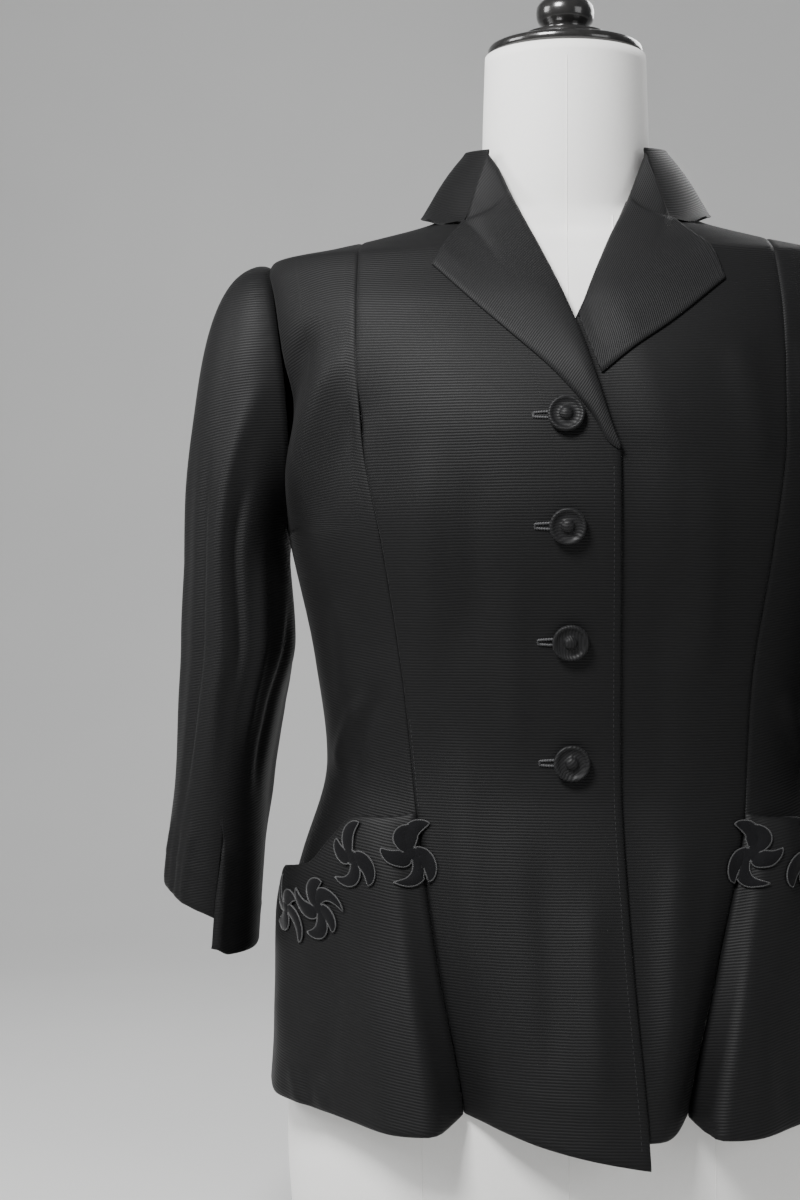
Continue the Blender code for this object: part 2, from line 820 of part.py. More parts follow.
def front_skin(across, height, out, under):
    """A point off the front of the body at a place across and a height."""
    panel = PANELS["front_left_centre" if under else "front_right_centre"]

    def surface(x, z):
        past = x - float(column_curve(RIGHT_EDGE, 1)(z)) - 0.004
        low = UNDERLAP * (1 - float(ease(past / UNDERLAP_RAMP)))
        y = -float(jacket.depth(x, z, -1)) + (low if under else 0)
        return np.array([x, y, z])

    here = surface(across, height)
    step = 0.0015
    sideways = surface(across + step, height) - surface(across - step, height)
    upwards = surface(across, height + step) - surface(across, height - step)
    normal = np.cross(sideways, upwards)
    normal /= np.linalg.norm(normal)
    return here + normal * out


def build_lapels(cloth):
    """Lapels made from the fronts' points, moved out."""
    columns, rows = 9, 13
    for word in ("right", "left"):
        right = word == "right"
        roll = RIGHT_LAPEL_ROLL if right else LEFT_LAPEL_ROLL
        edge = RIGHT_LAPEL_EDGE if right else LEFT_LAPEL_EDGE
        top = RIGHT_LAPEL_TOP if right else LEFT_LAPEL_TOP
        foot = (RIGHT_LAPEL_ROLL[0], RIGHT_LAPEL_EDGE[0]) if right else LEFT_LAPEL_FOOT
        points = np.empty((columns, rows, 3))
        for column, over in enumerate(np.linspace(0, 1, columns)):
            for row, up in enumerate(np.linspace(0, 1, rows)):
                sides = (1 - over) * polyline(roll, up) + over * polyline(edge, up)
                ends = (1 - up) * polyline(foot, over) + up * polyline(top, over)
                corners = (1 - up) * ((1 - over) * np.array(roll[0]) + over * np.array(edge[0]))
                corners = corners + up * ((1 - over) * np.array(top[0]) + over * np.array(top[-1]))
                across, height = sides + ends - corners
                spring = LAPEL_SPRING * math.sin(math.pi * min(1, over * 0.8 + 0.2)) * float(ease(up / 0.3))
                spring = max(spring, 0 if right else LEFT_LAPEL_FOOT_SPRING)
                point = front_skin(across, height, LAYER + spring, not right)
                lean = -float(column_curve(LAPEL_LEAN, 1)(height)) - spring
                if height > 0.705 and point[1] > lean:
                    point = np.array([across, lean, height])
                points[column, row] = point
        sheet(f"lapel_{word}", points, cloth)


def build_collar(cloth):
    """A stand that rises round the neck, rolls over and falls on the shoulders."""
    halves = np.array([0, 0.12, 0.24, 0.36, 0.48, 0.6, 0.7, 0.8, 0.88, 0.95, 1])
    shares = np.concatenate([-halves[:0:-1], halves])

    def at(table, share):
        turn = math.radians(float(column_curve(table, 1)(abs(share)))) * (1 if share >= 0 else -1)
        reach = float(column_curve(table, 2)(abs(share)))
        height = float(column_curve(table, 3)(abs(share)))
        return np.array([reach * math.sin(turn), reach * math.cos(turn), height])

    points = []
    for share in shares:
        seam, roll, fall, edge = (at(table, share) for table in
                                  (COLLAR_SEAM, COLLAR_ROLL, COLLAR_FALL, COLLAR_EDGE))
        out = np.array([roll[0], roll[1], 0]) / math.hypot(roll[0], roll[1])
        up = np.array([0, 0, 1])
        crown = [roll + COLLAR_ROLL_RADIUS * (out * (1 - math.cos(turn)) + up * math.sin(turn))
                 for turn in np.radians([0, 60, 120, 170])]
        points.append([seam, (seam + roll) / 2, *crown, (crown[-1] + fall) / 2, fall,
                       (fall + edge) / 2, edge])
    sheet("collar", np.array(points), cloth)


def sleeve_point(side, around, down):
    """A point of the sleeve: share round from the vent, and 0 at the head to 2 at the hem."""
    turn = VENT_TURN + 2 * math.pi * around
    cosine, sine = math.cos(turn), math.sin(turn)
    face = -1 if sine >= 0 else 1

    def ring(height):
        middle, half, shift, depth = (float(column_curve(SLEEVE, column)(height)) for column in (1, 2, 3, 4))
        power = 2 / SLEEVE_SQUARE
        x = middle + half * math.copysign(abs(cosine) ** power, cosine)
        y = shift - depth * math.copysign(abs(sine) ** power, sine)
        return np.array([side * x, y, height])

    hem = float(column_curve(SLEEVE_HEM, 1)(around))
    if down >= 1:
        return ring(CAP_FOOT + (hem - CAP_FOOT) * (down - 1))
    power = 2 / ARMHOLE_SQUARE
    height = ARMHOLE_MIDDLE + ARMHOLE_HALF_HEIGHT * math.copysign(abs(cosine) ** power, cosine)
    depth = (ARMHOLE_FRONT if face < 0 else ARMHOLE_BACK) * abs(sine) ** power
    reach = float(jacket.front(height) if face < 0 else jacket.back(height))
    square = float(jacket.square(height))
    across = float(jacket.width(height)) * (1 - min(1, depth / reach) ** square) ** (1 / square)
    lift = LAYER + 0.0010
    rise = max(0, cosine)
    start = np.array([side * (across + lift * (1 - 0.75 * rise)), face * (depth - lift * 0.3), height + lift * rise])
    foot = ring(CAP_FOOT)
    top_share = (1 + cosine) / 2
    leave = (0.012 + (HEAD_REACH - 0.012) * top_share**1.4) * np.array([side, face * 0.35 * abs(sine), 0.2 * rise])
    arrive = np.array([0, 0, -(0.02 + (HEAD_DROP - 0.02) * top_share)])
    rest = 1 - down
    return ((1 + 2 * down) * rest**2 * start + down * rest**2 * leave
            + down**2 * (3 - 2 * down) * foot - down**2 * rest * arrive)


def build_sleeves(cloth):
    """Set-in sleeves, open at the head and the cuff, with a lapped vent."""
    shares = np.linspace(0, 1, SLEEVE_AROUND + 1)
    rows = np.concatenate([np.linspace(0, 1, CAP_ROWS + 1), 1 + np.linspace(0, 1, ARM_ROWS + 1)[1:]])
    for word, side in (("right", -1), ("left", 1)):
        points = np.array([[sleeve_point(side, around, down) for down in rows] for around in shares])
        points[-1, : CAP_ROWS + 1] = points[0, : CAP_ROWS + 1]
        for row in range(CAP_ROWS + 1, len(rows)):
            below = VENT_TOP - points[0, row, 2]
            if below <= 0:
                points[-1, row] = points[0, row]
                continue
            normal = np.array([side * math.cos(VENT_TURN), -math.sin(VENT_TURN), 0])
            along = np.array([side * math.sin(VENT_TURN), -math.cos(VENT_TURN), 0]) * -1
            for column, part in ((0, 1.0), (1, 0.5)):
                points[column, row] += normal * VENT_LIFT * part
            points[0, row] -= along * VENT_OVERLAP * float(ease(below / 0.05))
        sheet(f"sleeve_{word}", points, cloth, weld=True)


def turned(name, profile, steps, material):
    """A turned solid from a profile of radius and height."""
    mesh = bmesh.new()
    ring = [mesh.verts.new((radius, 0, height)) for radius, height in profile]
    for first, second in zip(ring, ring[1:]):
        mesh.edges.new((first, second))
    data = bpy.data.meshes.new(name)
    mesh.to_mesh(data)
    mesh.free()
    thing = link(name, data, material)
    screw = thing.modifiers.new("Turn", "SCREW")
    screw.steps = steps
    screw.render_steps = steps
    screw.use_merge_vertices = True
    screw.merge_threshold = 0.00001
    screw.use_smooth_shade = True
    return thing


def build_buttons(cloth):
    """Four cloth-covered buttons seated on the upper front."""
    for number, (across, height, lift) in enumerate(BUTTONS, start=1):
        button = turned(f"button_{number}", BUTTON_PROFILE, TURNED_STEPS, cloth)
        seat = front_skin(across, height, WALL / 2 + lift, False)
        ahead = front_skin(across, height, WALL / 2 + lift + 0.01, False)
        button.location = seat
        button.rotation_euler = Vector(ahead - seat).to_track_quat("Z", "Y").to_euler()


def build_form(canvas, lacquer):
    """The limbless torso with its neck, closed top and flat underside, and its turned cap."""
    heights = np.concatenate([[0.0, 0.012], np.linspace(0.06, 0.655, 14),
                              np.linspace(0.655, 0.7300, 9)[1:], [0.75, 0.79, 0.837]])
    turns = np.linspace(0, 2 * math.pi, FORM_AROUND + 1)
    mesh = bmesh.new()
    bmesh.ops.create_grid(mesh, x_segments=FORM_AROUND, y_segments=len(heights) - 1, size=1)
    for vertex in mesh.verts:
        turn = turns[round((vertex.co.x + 1) / 2 * FORM_AROUND)]
        height = heights[round((vertex.co.y + 1) / 2 * (len(heights) - 1))]
        power = 2 / float(form.square(height))
        cosine, sine = math.cos(turn), math.sin(turn)
        depth = float(form.front(height) if sine < 0 else form.back(height))
        vertex.co = Vector((float(form.width(height)) * math.copysign(abs(cosine) ** power, cosine),
                            depth * math.copysign(abs(sine) ** power, sine), height))
    bmesh.ops.remove_doubles(mesh, verts=mesh.verts, dist=1e-6)
    bmesh.ops.holes_fill(mesh, edges=mesh.edges, sides=0)
    bmesh.ops.recalc_face_normals(mesh, faces=mesh.faces)
    data = bpy.data.meshes.new("form_torso")
    mesh.to_mesh(data)
    mesh.free()
    data.shade_smooth()
    link("form_torso", data, canvas)
    cap = turned("form_cap", CAP_PROFILE, 24, lacquer)
    cap.location = (0, 0, FORM[-1][0] + CAP_GAP)


def main():
    """Build every piece in the object's own collection."""
    cloth = new_material("black_faille", (0.013, 0.013, 0.015), 0.72)
    velvet = new_material("black_velvet", (0.005, 0.005, 0.006), 0.95)
    canvas = new_material("white_canvas", (0.78, 0.77, 0.75), 0.85)
    lacquer = new_material("black_lacquer", (0.01, 0.01, 0.01), 0.2)
    build_form(canvas, lacquer)
    build_panels(cloth)
    build_pockets(cloth)
    build_whorls(velvet)
    build_lapels(cloth)
    build_collar(cloth)
    build_sleeves(cloth)
    build_buttons(cloth)


for leftover in list(bpy.data.objects):
    bpy.data.objects.remove(leftover, do_unlink=True)
collection = bpy.data.collections.new(OBJECT_NAME)
bpy.context.scene.collection.children.link(collection)
main()
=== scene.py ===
import math

import bmesh
import bpy
import numpy as np
from mathutils import Matrix, Vector


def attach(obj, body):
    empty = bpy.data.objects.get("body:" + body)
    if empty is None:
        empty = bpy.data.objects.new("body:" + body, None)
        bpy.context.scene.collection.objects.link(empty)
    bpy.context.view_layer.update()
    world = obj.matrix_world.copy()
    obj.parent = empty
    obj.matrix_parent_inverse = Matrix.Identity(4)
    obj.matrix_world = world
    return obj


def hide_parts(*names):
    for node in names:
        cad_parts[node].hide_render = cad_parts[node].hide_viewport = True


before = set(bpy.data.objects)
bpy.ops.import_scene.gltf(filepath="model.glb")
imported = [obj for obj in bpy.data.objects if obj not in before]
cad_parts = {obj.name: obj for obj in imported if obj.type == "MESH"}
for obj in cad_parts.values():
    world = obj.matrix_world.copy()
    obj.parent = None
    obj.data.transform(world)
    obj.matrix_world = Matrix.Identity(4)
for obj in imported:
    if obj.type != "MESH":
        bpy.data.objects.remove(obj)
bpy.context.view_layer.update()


def collect(name, data):
    """Put an object in the scene."""
    thing = bpy.data.objects.new(name, data)
    bpy.context.scene.collection.objects.link(thing)
    return thing


lens = bpy.data.cameras.new("camera")
lens.sensor_fit = "VERTICAL"
lens.angle = 2 * math.atan(600 / 2206)
camera = collect("camera", lens)
camera.location = (-0.0284, -1.5, 0.47)
camera.rotation_euler = (math.radians(90), 0, math.radians(3.2))
bpy.context.scene.camera = camera


class Flow:
    """A value or colour inside a material, so that its maths reads as plain arithmetic."""

    def __init__(self, tree, socket=None):
        self.tree = tree
        self.socket = socket

    def node(self, kind, settings=None, inputs=None, output=0):
        """Add a node, set it up first, then give its sockets values or links."""
        made = self.tree.nodes.new(kind)
        for setting, value in (settings or {}).items():
            if setting == "stops":
                for element, (place, grey) in zip(made.color_ramp.elements, value):
                    element.position = place
                    element.color = (grey, grey, grey, 1)
            else:
                setattr(made, setting, value)
        for key, value in (inputs or {}).items():
            if isinstance(value, Flow):
                self.tree.links.new(value.socket, made.inputs[key])
            else:
                made.inputs[key].default_value = value
        return Flow(self.tree, made.outputs[output])

    def math(self, operation, first, second=0.0):
        return self.node("ShaderNodeMath", {"operation": operation}, {0: first, 1: second})

    def __add__(self, other):
        return self.math("ADD", self, other)

    def __sub__(self, other):
        return self.math("SUBTRACT", self, other)

    def __rsub__(self, other):
        return self.math("SUBTRACT", other, self)

    def __mul__(self, other):
        return self.math("MULTIPLY", self, other)

    def __pow__(self, other):
        return self.math("POWER", self, other)

    __radd__ = __add__
    __rmul__ = __mul__

    def blend(self, low, high):
        """A colour between two, by this value."""
        return self.node("ShaderNodeMix", {"data_type": "RGBA"}, {0: self, 6: low, 7: high}, 2)

    def noise(self, place, scale, detail=2.0):
        return self.node("ShaderNodeTexNoise", None, {"Vector": place, "Scale": scale, "Detail": detail})

    def place(self):
        """The point on the object."""
        return self.node("ShaderNodeTexCoord", output="Object")

    def cut(self, axis):
        """A distance on the flat cut, X across it or Y along it."""
        flat = self.node("ShaderNodeUVMap", {"uv_map": "cut"})
        return self.node("ShaderNodeSeparateXYZ", None, {0: flat}, axis)

    def bump(self, strength, distance, height):
        """A relief's normal."""
        return self.node("ShaderNodeBump", None,
                         {"Strength": strength, "Distance": distance, "Height": height})


def start_material(name, **constants):
    """A material whose unvarying sockets are set on the shader itself."""
    material = bpy.data.materials.new(name)
    material.use_nodes = True
    shader = material.node_tree.nodes["Principled BSDF"]
    for socket, value in constants.items():
        shader.inputs[socket.replace("_", " ")].default_value = value
    return material, shader, Flow(material.node_tree)


def feed(shader, **flows):
    """Link flows to the shader's sockets."""
    for socket, flow in flows.items():
        flow.tree.links.new(flow.socket, shader.inputs[socket.replace("_", " ")])


paper, shader, start = start_material("pale_paper", Roughness=0.9)
place = start.place()
feed(shader, Base_Color=start.noise(place, 3.0).blend((0.60, 0.60, 0.60, 1), (0.66, 0.66, 0.65, 1)))
mesh = bmesh.new()
bmesh.ops.create_grid(mesh, x_segments=1, y_segments=40, size=1)
for vertex in mesh.verts:
    run = (vertex.co.y + 1) / 2 * 7.0
    bend = min(max((run - 3.6) / 1.4, 0), 1) * math.pi / 2
    vertex.co = Vector((vertex.co.x * 4, -2.2 + min(run, 3.6) + 0.9 * math.sin(bend),
                        0.9 * (1 - math.cos(bend)) + max(run - 5.0, 0)))
bmesh.ops.recalc_face_normals(mesh, faces=mesh.faces)
floor_mesh = bpy.data.meshes.new("floor")
mesh.to_mesh(floor_mesh)
mesh.free()
floor_mesh.shade_smooth()
floor_mesh.materials.append(paper)
collect("floor", floor_mesh)

for name, spot, aim, size, power in (
    ("key", (-0.62, -1.05, 1.62), (0.0, 0.0, 0.72), 0.50, 54),
    ("fill", (1.70, -1.40, 0.95), (0.0, 0.0, 0.55), 1.0, 8),
    ("rim", (1.10, 1.30, 1.50), (0.0, 0.0, 0.50), 1.0, 22),
    ("side", (-1.50, -0.30, 1.20), (-0.2, 0.0, 0.50), 0.6, 14),
):
    lamp = bpy.data.lights.new(name, "AREA")
    lamp.size = size
    lamp.energy = power
    light = collect(name, lamp)
    light.location = spot
    light.rotation_euler = (Vector(aim) - Vector(spot)).to_track_quat("-Z", "Y").to_euler()
world = bpy.data.worlds.new("studio")
world.use_nodes = True
world.node_tree.nodes["Background"].inputs["Color"].default_value = (0.9, 0.92, 0.95, 1)
world.node_tree.nodes["Background"].inputs["Strength"].default_value = 0.17
bpy.context.scene.world = world


# The dress form: a limbless torso padded and covered in white cotton, its panels joined by
# fine seams, closed flat below the hip and across the neck.
FORM = (
    (0.000, 0.1740, 0.1130, 0.1230, 2.15),
    (0.012, 0.1790, 0.1170, 0.1270, 2.15),
    (0.060, 0.1850, 0.1215, 0.1300, 2.15),
    (0.110, 0.1880, 0.1250, 0.1290, 2.15),
    (0.200, 0.1845, 0.1225, 0.1235, 2.15),
    (0.288, 0.1710, 0.1140, 0.1085, 2.15),
    (0.363, 0.1500, 0.1060, 0.0865, 2.10),
    (0.430, 0.1570, 0.1135, 0.0890, 2.10),
    (0.533, 0.1780, 0.1350, 0.1030, 2.20),
    (0.570, 0.1810, 0.1330, 0.1070, 2.25),
    (0.610, 0.1830, 0.1240, 0.1075, 2.40),
    (0.655, 0.1820, 0.1010, 0.0990, 2.70),
    (0.677, 0.1740, 0.0825, 0.0855, 2.70),
    (0.689, 0.1610, 0.0735, 0.0775, 2.60),
    (0.6972, 0.1450, 0.0675, 0.0720, 2.40),
    (0.7055, 0.1250, 0.0630, 0.0675, 2.25),
    (0.7160, 0.0885, 0.0555, 0.0600, 2.10),
    (0.7300, 0.0590, 0.0530, 0.0570, 2.00),
    (0.750, 0.0570, 0.0540, 0.0565, 2.00),
    (0.800, 0.0556, 0.0550, 0.0556, 2.00),
    (0.837, 0.0544, 0.0544, 0.0544, 2.00),
)


class Curve:
    """A smooth curve through (place, value) rows that never overshoots them."""

    def __init__(self, rows, column=1):
        rows = np.array(sorted(tuple(map(float, row)) for row in rows))
        self.places, self.values = rows[:, 0], rows[:, column]
        slopes = np.diff(self.values) / np.diff(self.places)
        before, after = slopes[:-1], slopes[1:]
        together = before * after > 0
        middle = np.where(together, 2 * before * after / np.where(together, before + after, 1), 0)
        self.tangents = np.concatenate([slopes[:1], middle, slopes[-1:]])

    def __call__(self, at):
        at = np.clip(at, self.places[0], self.places[-1])
        row = np.clip(np.searchsorted(self.places, at) - 1, 0, len(self.places) - 2)
        span = self.places[row + 1] - self.places[row]
        share = (at - self.places[row]) / span
        rest = 1 - share
        return ((1 + 2 * share) * rest**2 * self.values[row]
                + share * rest**2 * span * self.tangents[row]
                + share**2 * (3 - 2 * share) * self.values[row + 1]
                - share**2 * rest * span * self.tangents[row + 1])


def ease(value):
    """A soft step from 0 to 1."""
    value = np.clip(value, 0, 1)
    return value * value * (3 - 2 * value)


def power_of(value, power):
    """A power that keeps the sign."""
    return np.sign(value) * np.abs(value) ** power


class Rings:
    """A body given by rings: half width, front and back depth and squareness by height."""

    def __init__(self, rows):
        self.width, self.front, self.back, self.square = (Curve(rows, column) for column in (1, 2, 3, 4))

    def depth(self, across, height, face):
        """Distance from the middle plane to the front (face -1) or back (face 1)."""
        square = self.square(height)
        reach = self.front(height) if face < 0 else self.back(height)
        share = np.clip(np.abs(across) / self.width(height), 0, 1)
        return reach * (1 - share**square) ** (1 / square)

    def across(self, turn, height):
        """Distance across of a point at a turn from the side towards the front or back."""
        return self.width(height) * np.cos(turn) ** (2 / self.square(height))

    def turn(self, across, height):
        """The turn from the side of a point at a distance across."""
        share = np.clip(np.abs(across) / self.width(height), 0, 1)
        return np.arccos(share ** (self.square(height) / 2))


def run_along(points, axis):
    """Distance run from the first point along one axis of a grid of points."""
    steps = np.linalg.norm(np.diff(points, axis=axis), axis=-1)
    first = np.zeros_like(np.take(steps, [0], axis=axis))
    return np.concatenate([first, np.cumsum(steps, axis=axis)], axis=axis)


def lay_grid(mesh, points, flat=None):
    """Add a grid to a mesh with its corners at points, and its flat cut as its UV map."""
    columns, rows = points.shape[:2]
    layer = mesh.loops.layers.uv.get("cut") or mesh.loops.layers.uv.new("cut")
    made = bmesh.ops.create_grid(mesh, x_segments=columns - 1, y_segments=rows - 1, size=1)["verts"]
    for vertex in made:
        column = round((vertex.co.x + 1) / 2 * (columns - 1))
        row = round((vertex.co.y + 1) / 2 * (rows - 1))
        vertex.co = points[column, row]
        if flat is not None:
            for loop in vertex.link_loops:
                loop[layer].uv = flat[column, row]
    return made


def lay_tube(mesh, line, radius, sides=8):
    """Add a tube along a line of points; its radius may vary, and its ends are left open."""
    line = np.asarray(line, float)
    ahead = np.gradient(line, axis=0)
    ahead /= np.linalg.norm(ahead, axis=1, keepdims=True) + 1e-12
    level = np.cross(ahead, (0.13, -0.94, 0.31))
    level /= np.linalg.norm(level, axis=1, keepdims=True) + 1e-12
    upright = np.cross(level, ahead)
    turns = np.linspace(0, 2 * math.pi, sides + 1)
    radius = np.broadcast_to(radius, len(line))
    ring = (level[:, None] * np.cos(turns)[None, :, None]
            + upright[:, None] * np.sin(turns)[None, :, None])
    points = line[:, None] + ring * radius[:, None, None]
    lengths = run_along(line, 0)
    flat = np.stack(np.broadcast_arrays(turns[None, :] * 0.001, lengths[:, None]), axis=-1)
    lay_grid(mesh, points, flat)


def make_piece(name, mesh, material, replaces=(), wall=0.0):
    """Finish a mesh as a smooth piece on the one body, with a wall if it is cloth."""
    data = bpy.data.meshes.new(name)
    mesh.to_mesh(data)
    mesh.free()
    data.shade_smooth()
    data.materials.append(material)
    piece = collect(name, data)
    if wall:
        solidify = piece.modifiers.new("Wall", "SOLIDIFY")
        solidify.thickness = wall
        solidify.offset = 0
    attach(piece, "root")
    if replaces:
        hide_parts(*replaces)
    return piece


def shut(mesh):
    """Weld doubles and turn a closed mesh's faces outwards."""
    bmesh.ops.remove_doubles(mesh, verts=mesh.verts, dist=2e-6)
    bmesh.ops.recalc_face_normals(mesh, faces=mesh.faces)


form = Rings(FORM)


def form_points(turns, heights, lift=0.0):
    """Points of the form at turns from its left side and heights."""
    power = 2 / form.square(heights)
    cosine, sine = np.cos(turns), np.sin(turns)
    depth = np.where(sine < 0, form.front(heights), form.back(heights))
    x = (form.width(heights) + lift) * power_of(cosine, power)
    y = (depth + lift) * power_of(sine, power)
    return np.stack(np.broadcast_arrays(x, y, heights), axis=-1)


cotton, shader, start = start_material("white_cotton", Roughness=0.86, Sheen_Weight=0.12)
place = start.place()
yarn = 2 * math.pi / 0.0009
weft = start.math("SINE", start.cut("Y") * yarn)
warp = start.math("SINE", start.cut("X") * yarn)
weave = weft * warp * 0.5 + 0.5
grime = start.noise(place, 9.0, 5.0)
fleck = start.noise(place, 420.0, 3.0)
tone = grime * 0.6 + fleck * 0.25 + weave * 0.15
feed(shader,
     Base_Color=tone.blend((0.78, 0.77, 0.745, 1), (0.93, 0.925, 0.91, 1)),
     Normal=start.bump(0.30, 0.0003, weave * 0.5 + fleck * 0.5))

around, levels = 144, np.concatenate([[0.0, 0.002, 0.006, 0.012], np.linspace(0.02, 0.655, 70),
                                      np.linspace(0.655, 0.74, 34)[1:], np.linspace(0.74, 0.837, 16)[1:]])
turns = np.linspace(0, 2 * math.pi, around + 1)
points = form_points(turns[:, None], levels[None, :])
flat = np.stack(np.broadcast_arrays(turns[:, None] * 0.155, levels[None, :]), axis=-1)
mesh = bmesh.new()
lay_grid(mesh, points, flat)
bmesh.ops.remove_doubles(mesh, verts=mesh.verts, dist=1e-6)
bmesh.ops.holes_fill(mesh, edges=mesh.edges, sides=0)
bmesh.ops.recalc_face_normals(mesh, faces=mesh.faces)
torso = make_piece("form_body", mesh, cotton, ["form_torso"])

seams = bmesh.new()
for across_low, across_high in ((0.000, 0.000), (-0.092, -0.030), (0.092, 0.030)):
    for face in (-1, 1):
        heights = np.linspace(0.004, 0.826 if across_low == 0 else 0.722, 150)
        across = across_low + (across_high - across_low) * ease((heights - 0.45) / 0.27)
        across = np.sign(across) * np.minimum(np.abs(across), 0.80 * form.width(heights))
        depth = form.depth(across, heights, face)
        lay_tube(seams, np.stack([across, face * (depth - 0.00005), heights], axis=-1), 0.00042, 6)
for side in (-1, 1):
    heights = np.linspace(0.004, 0.730, 120)
    lay_tube(seams, np.stack([side * form.width(heights), heights * 0, heights], axis=-1), 0.00042, 6)
shut(seams)
make_piece("form_seams", seams, cotton)

# The form's cap: turned wood in black lacquer, a wide foot under a waisted knob, seated on
# the closed top of the neck.
CAP = (
    (0.0000, 0.0680), (0.0040, 0.0678), (0.0085, 0.0660), (0.0120, 0.0628), (0.0135, 0.0590),
    (0.0138, 0.0552), (0.0126, 0.0515), (0.0100, 0.0480), (0.0085, 0.0455), (0.0087, 0.0438),
    (0.0110, 0.0418), (0.0135, 0.0400), (0.0172, 0.0372), (0.0194, 0.0340), (0.0198, 0.0300),
    (0.0193, 0.0262), (0.0182, 0.0236), (0.0158, 0.0212), (0.0150, 0.0195), (0.0156, 0.0182),
    (0.0210, 0.0168), (0.0282, 0.0156), (0.0293, 0.0148), (0.0296, 0.0128), (0.0303, 0.0112),
    (0.0340, 0.0102), (0.0430, 0.0090), (0.0488, 0.0079), (0.0515, 0.0066), (0.0524, 0.0050),
    (0.0525, 0.0026), (0.0518, 0.0009), (0.0503, 0.0001), (0.0000, 0.0001),
)
lacquer, shader, start = start_material("black_lacquer", Coat_Weight=0.6, Coat_Roughness=0.06)
place = start.place()
dust = start.noise(place, 160.0, 4.0)
feed(shader,
     Base_Color=dust.blend((0.006, 0.006, 0.006, 1), (0.022, 0.021, 0.020, 1)),
     Roughness=dust * 0.22 + 0.12)


def spin_profile(mesh, profile, steps):
    """Turn a profile of (radius, height) once round the upright axis."""
    ring = [mesh.verts.new((radius, 0, height)) for radius, height in profile]
    edges = [mesh.edges.new(pair) for pair in zip(ring, ring[1:])]
    bmesh.ops.spin(mesh, geom=ring + edges, cent=(0, 0, 0), axis=(0, 0, 1), angle=2 * math.pi,
                   steps=steps, use_merge=True)
    shut(mesh)


mesh = bmesh.new()
spin_profile(mesh, CAP, 72)
bmesh.ops.translate(mesh, verts=mesh.verts, vec=(0, 0, 0.8373))
make_piece("form_cap_turned", mesh, lacquer, ["form_cap"])


# The jacket's seven body panels: black faille, a silk with fine crosswise ribs, cut as two
# centre fronts, two side fronts, two side backs and a centre back. The princess seams are
# pressed open, the hem and front edges turned, and the peplum flares below the waist.
WALL = 0.0012
LAYER = 0.0019
UNDERLAP = 0.0032
UNDERLAP_RAMP = 0.034
FLARE_TOP = 0.345
HEM_LEVEL = 0.140
UNDERARM = 0.515
SHOULDER_TIP = 0.6955
WAIST = 0.363
JACKET = (
    (0.110, 0.1915, 0.1295, 0.1330, 2.15),
    (0.200, 0.1885, 0.1275, 0.1280, 2.15),
    (0.288, 0.1790, 0.1215, 0.1160, 2.15),
    (0.363, 0.1610, 0.1170, 0.0950, 2.10),
    (0.430, 0.1690, 0.1250, 0.0980, 2.10),
    (0.533, 0.1900, 0.1430, 0.1110, 2.20),
    (0.570, 0.1935, 0.1410, 0.1150, 2.25),
    (0.610, 0.1970, 0.1320, 0.1155, 2.40),
    (0.658, 0.2005, 0.1080, 0.1070, 2.80),
    (0.684, 0.2015, 0.0880, 0.0930, 2.90),
    (0.6955, 0.1980, 0.0790, 0.0840, 2.80),
    (0.703, 0.1660, 0.0725, 0.0770, 2.50),
    (0.710, 0.1360, 0.0670, 0.0715, 2.30),
    (0.722, 0.0930, 0.0600, 0.0650, 2.10),
    (0.738, 0.0620, 0.0570, 0.0610, 2.00),
    (0.780, 0.0600, 0.0560, 0.0590, 2.00),
)
# Seams and edges: height, distance from the middle on the wearer's right, on the left
FRONT_PRINCESS = (
    (0.120, 0.064, 0.071), (0.150, 0.066, 0.074), (0.240, 0.082, 0.093), (0.337, 0.0965, 0.1125),
    (0.4135, 0.1045, 0.1160), (0.501, 0.1170, 0.1280), (0.5755, 0.1310, 0.1365),
    (0.640, 0.1350, 0.1360), (0.720, 0.1360, 0.1310),
)
BACK_PRINCESS = (
    (0.120, 0.083), (0.240, 0.077), (0.363, 0.070), (0.501, 0.088), (0.600, 0.104), (0.720, 0.112),
)
RIGHT_EDGE = (
    (0.120, 0.0440), (0.150, 0.0430), (0.250, 0.0370), (0.363, 0.0325), (0.561, 0.0316),
    (0.5756, 0.0265), (0.608, 0.0163), (0.644, 0.0040), (0.6826, -0.0120), (0.7295, -0.0330),
    (0.745, -0.0400),
)
LEFT_EDGE = (
    (0.120, -0.0200), (0.363, -0.0200), (0.561, -0.0180), (0.600, -0.0095), (0.644, 0.0035),
    (0.670, 0.0144), (0.7027, 0.0271), (0.7295, 0.0385), (0.745, 0.0450),
)
# Hems: share across the panel, height
FRONT_HEM = (
    (0.00, 0.1240, 0.1370), (0.25, 0.1290, 0.1375), (0.50, 0.1350, 0.1390), (0.80, 0.1440, 0.1400),
    (1.00, 0.1500, 0.1500),
)
SIDE_HEM = (
    (0.00, 0.1500), (0.10, 0.1410), (0.20, 0.1400), (0.45, 0.1445), (0.70, 0.1470), (1.00, 0.1480),
)
BACK_SIDE_HEM = ((0.00, 0.1480), (0.50, 0.1420), (1.00, 0.1460))
BACK_HEM = ((0.00, 0.1460), (0.50, 0.1360), (1.00, 0.1460))
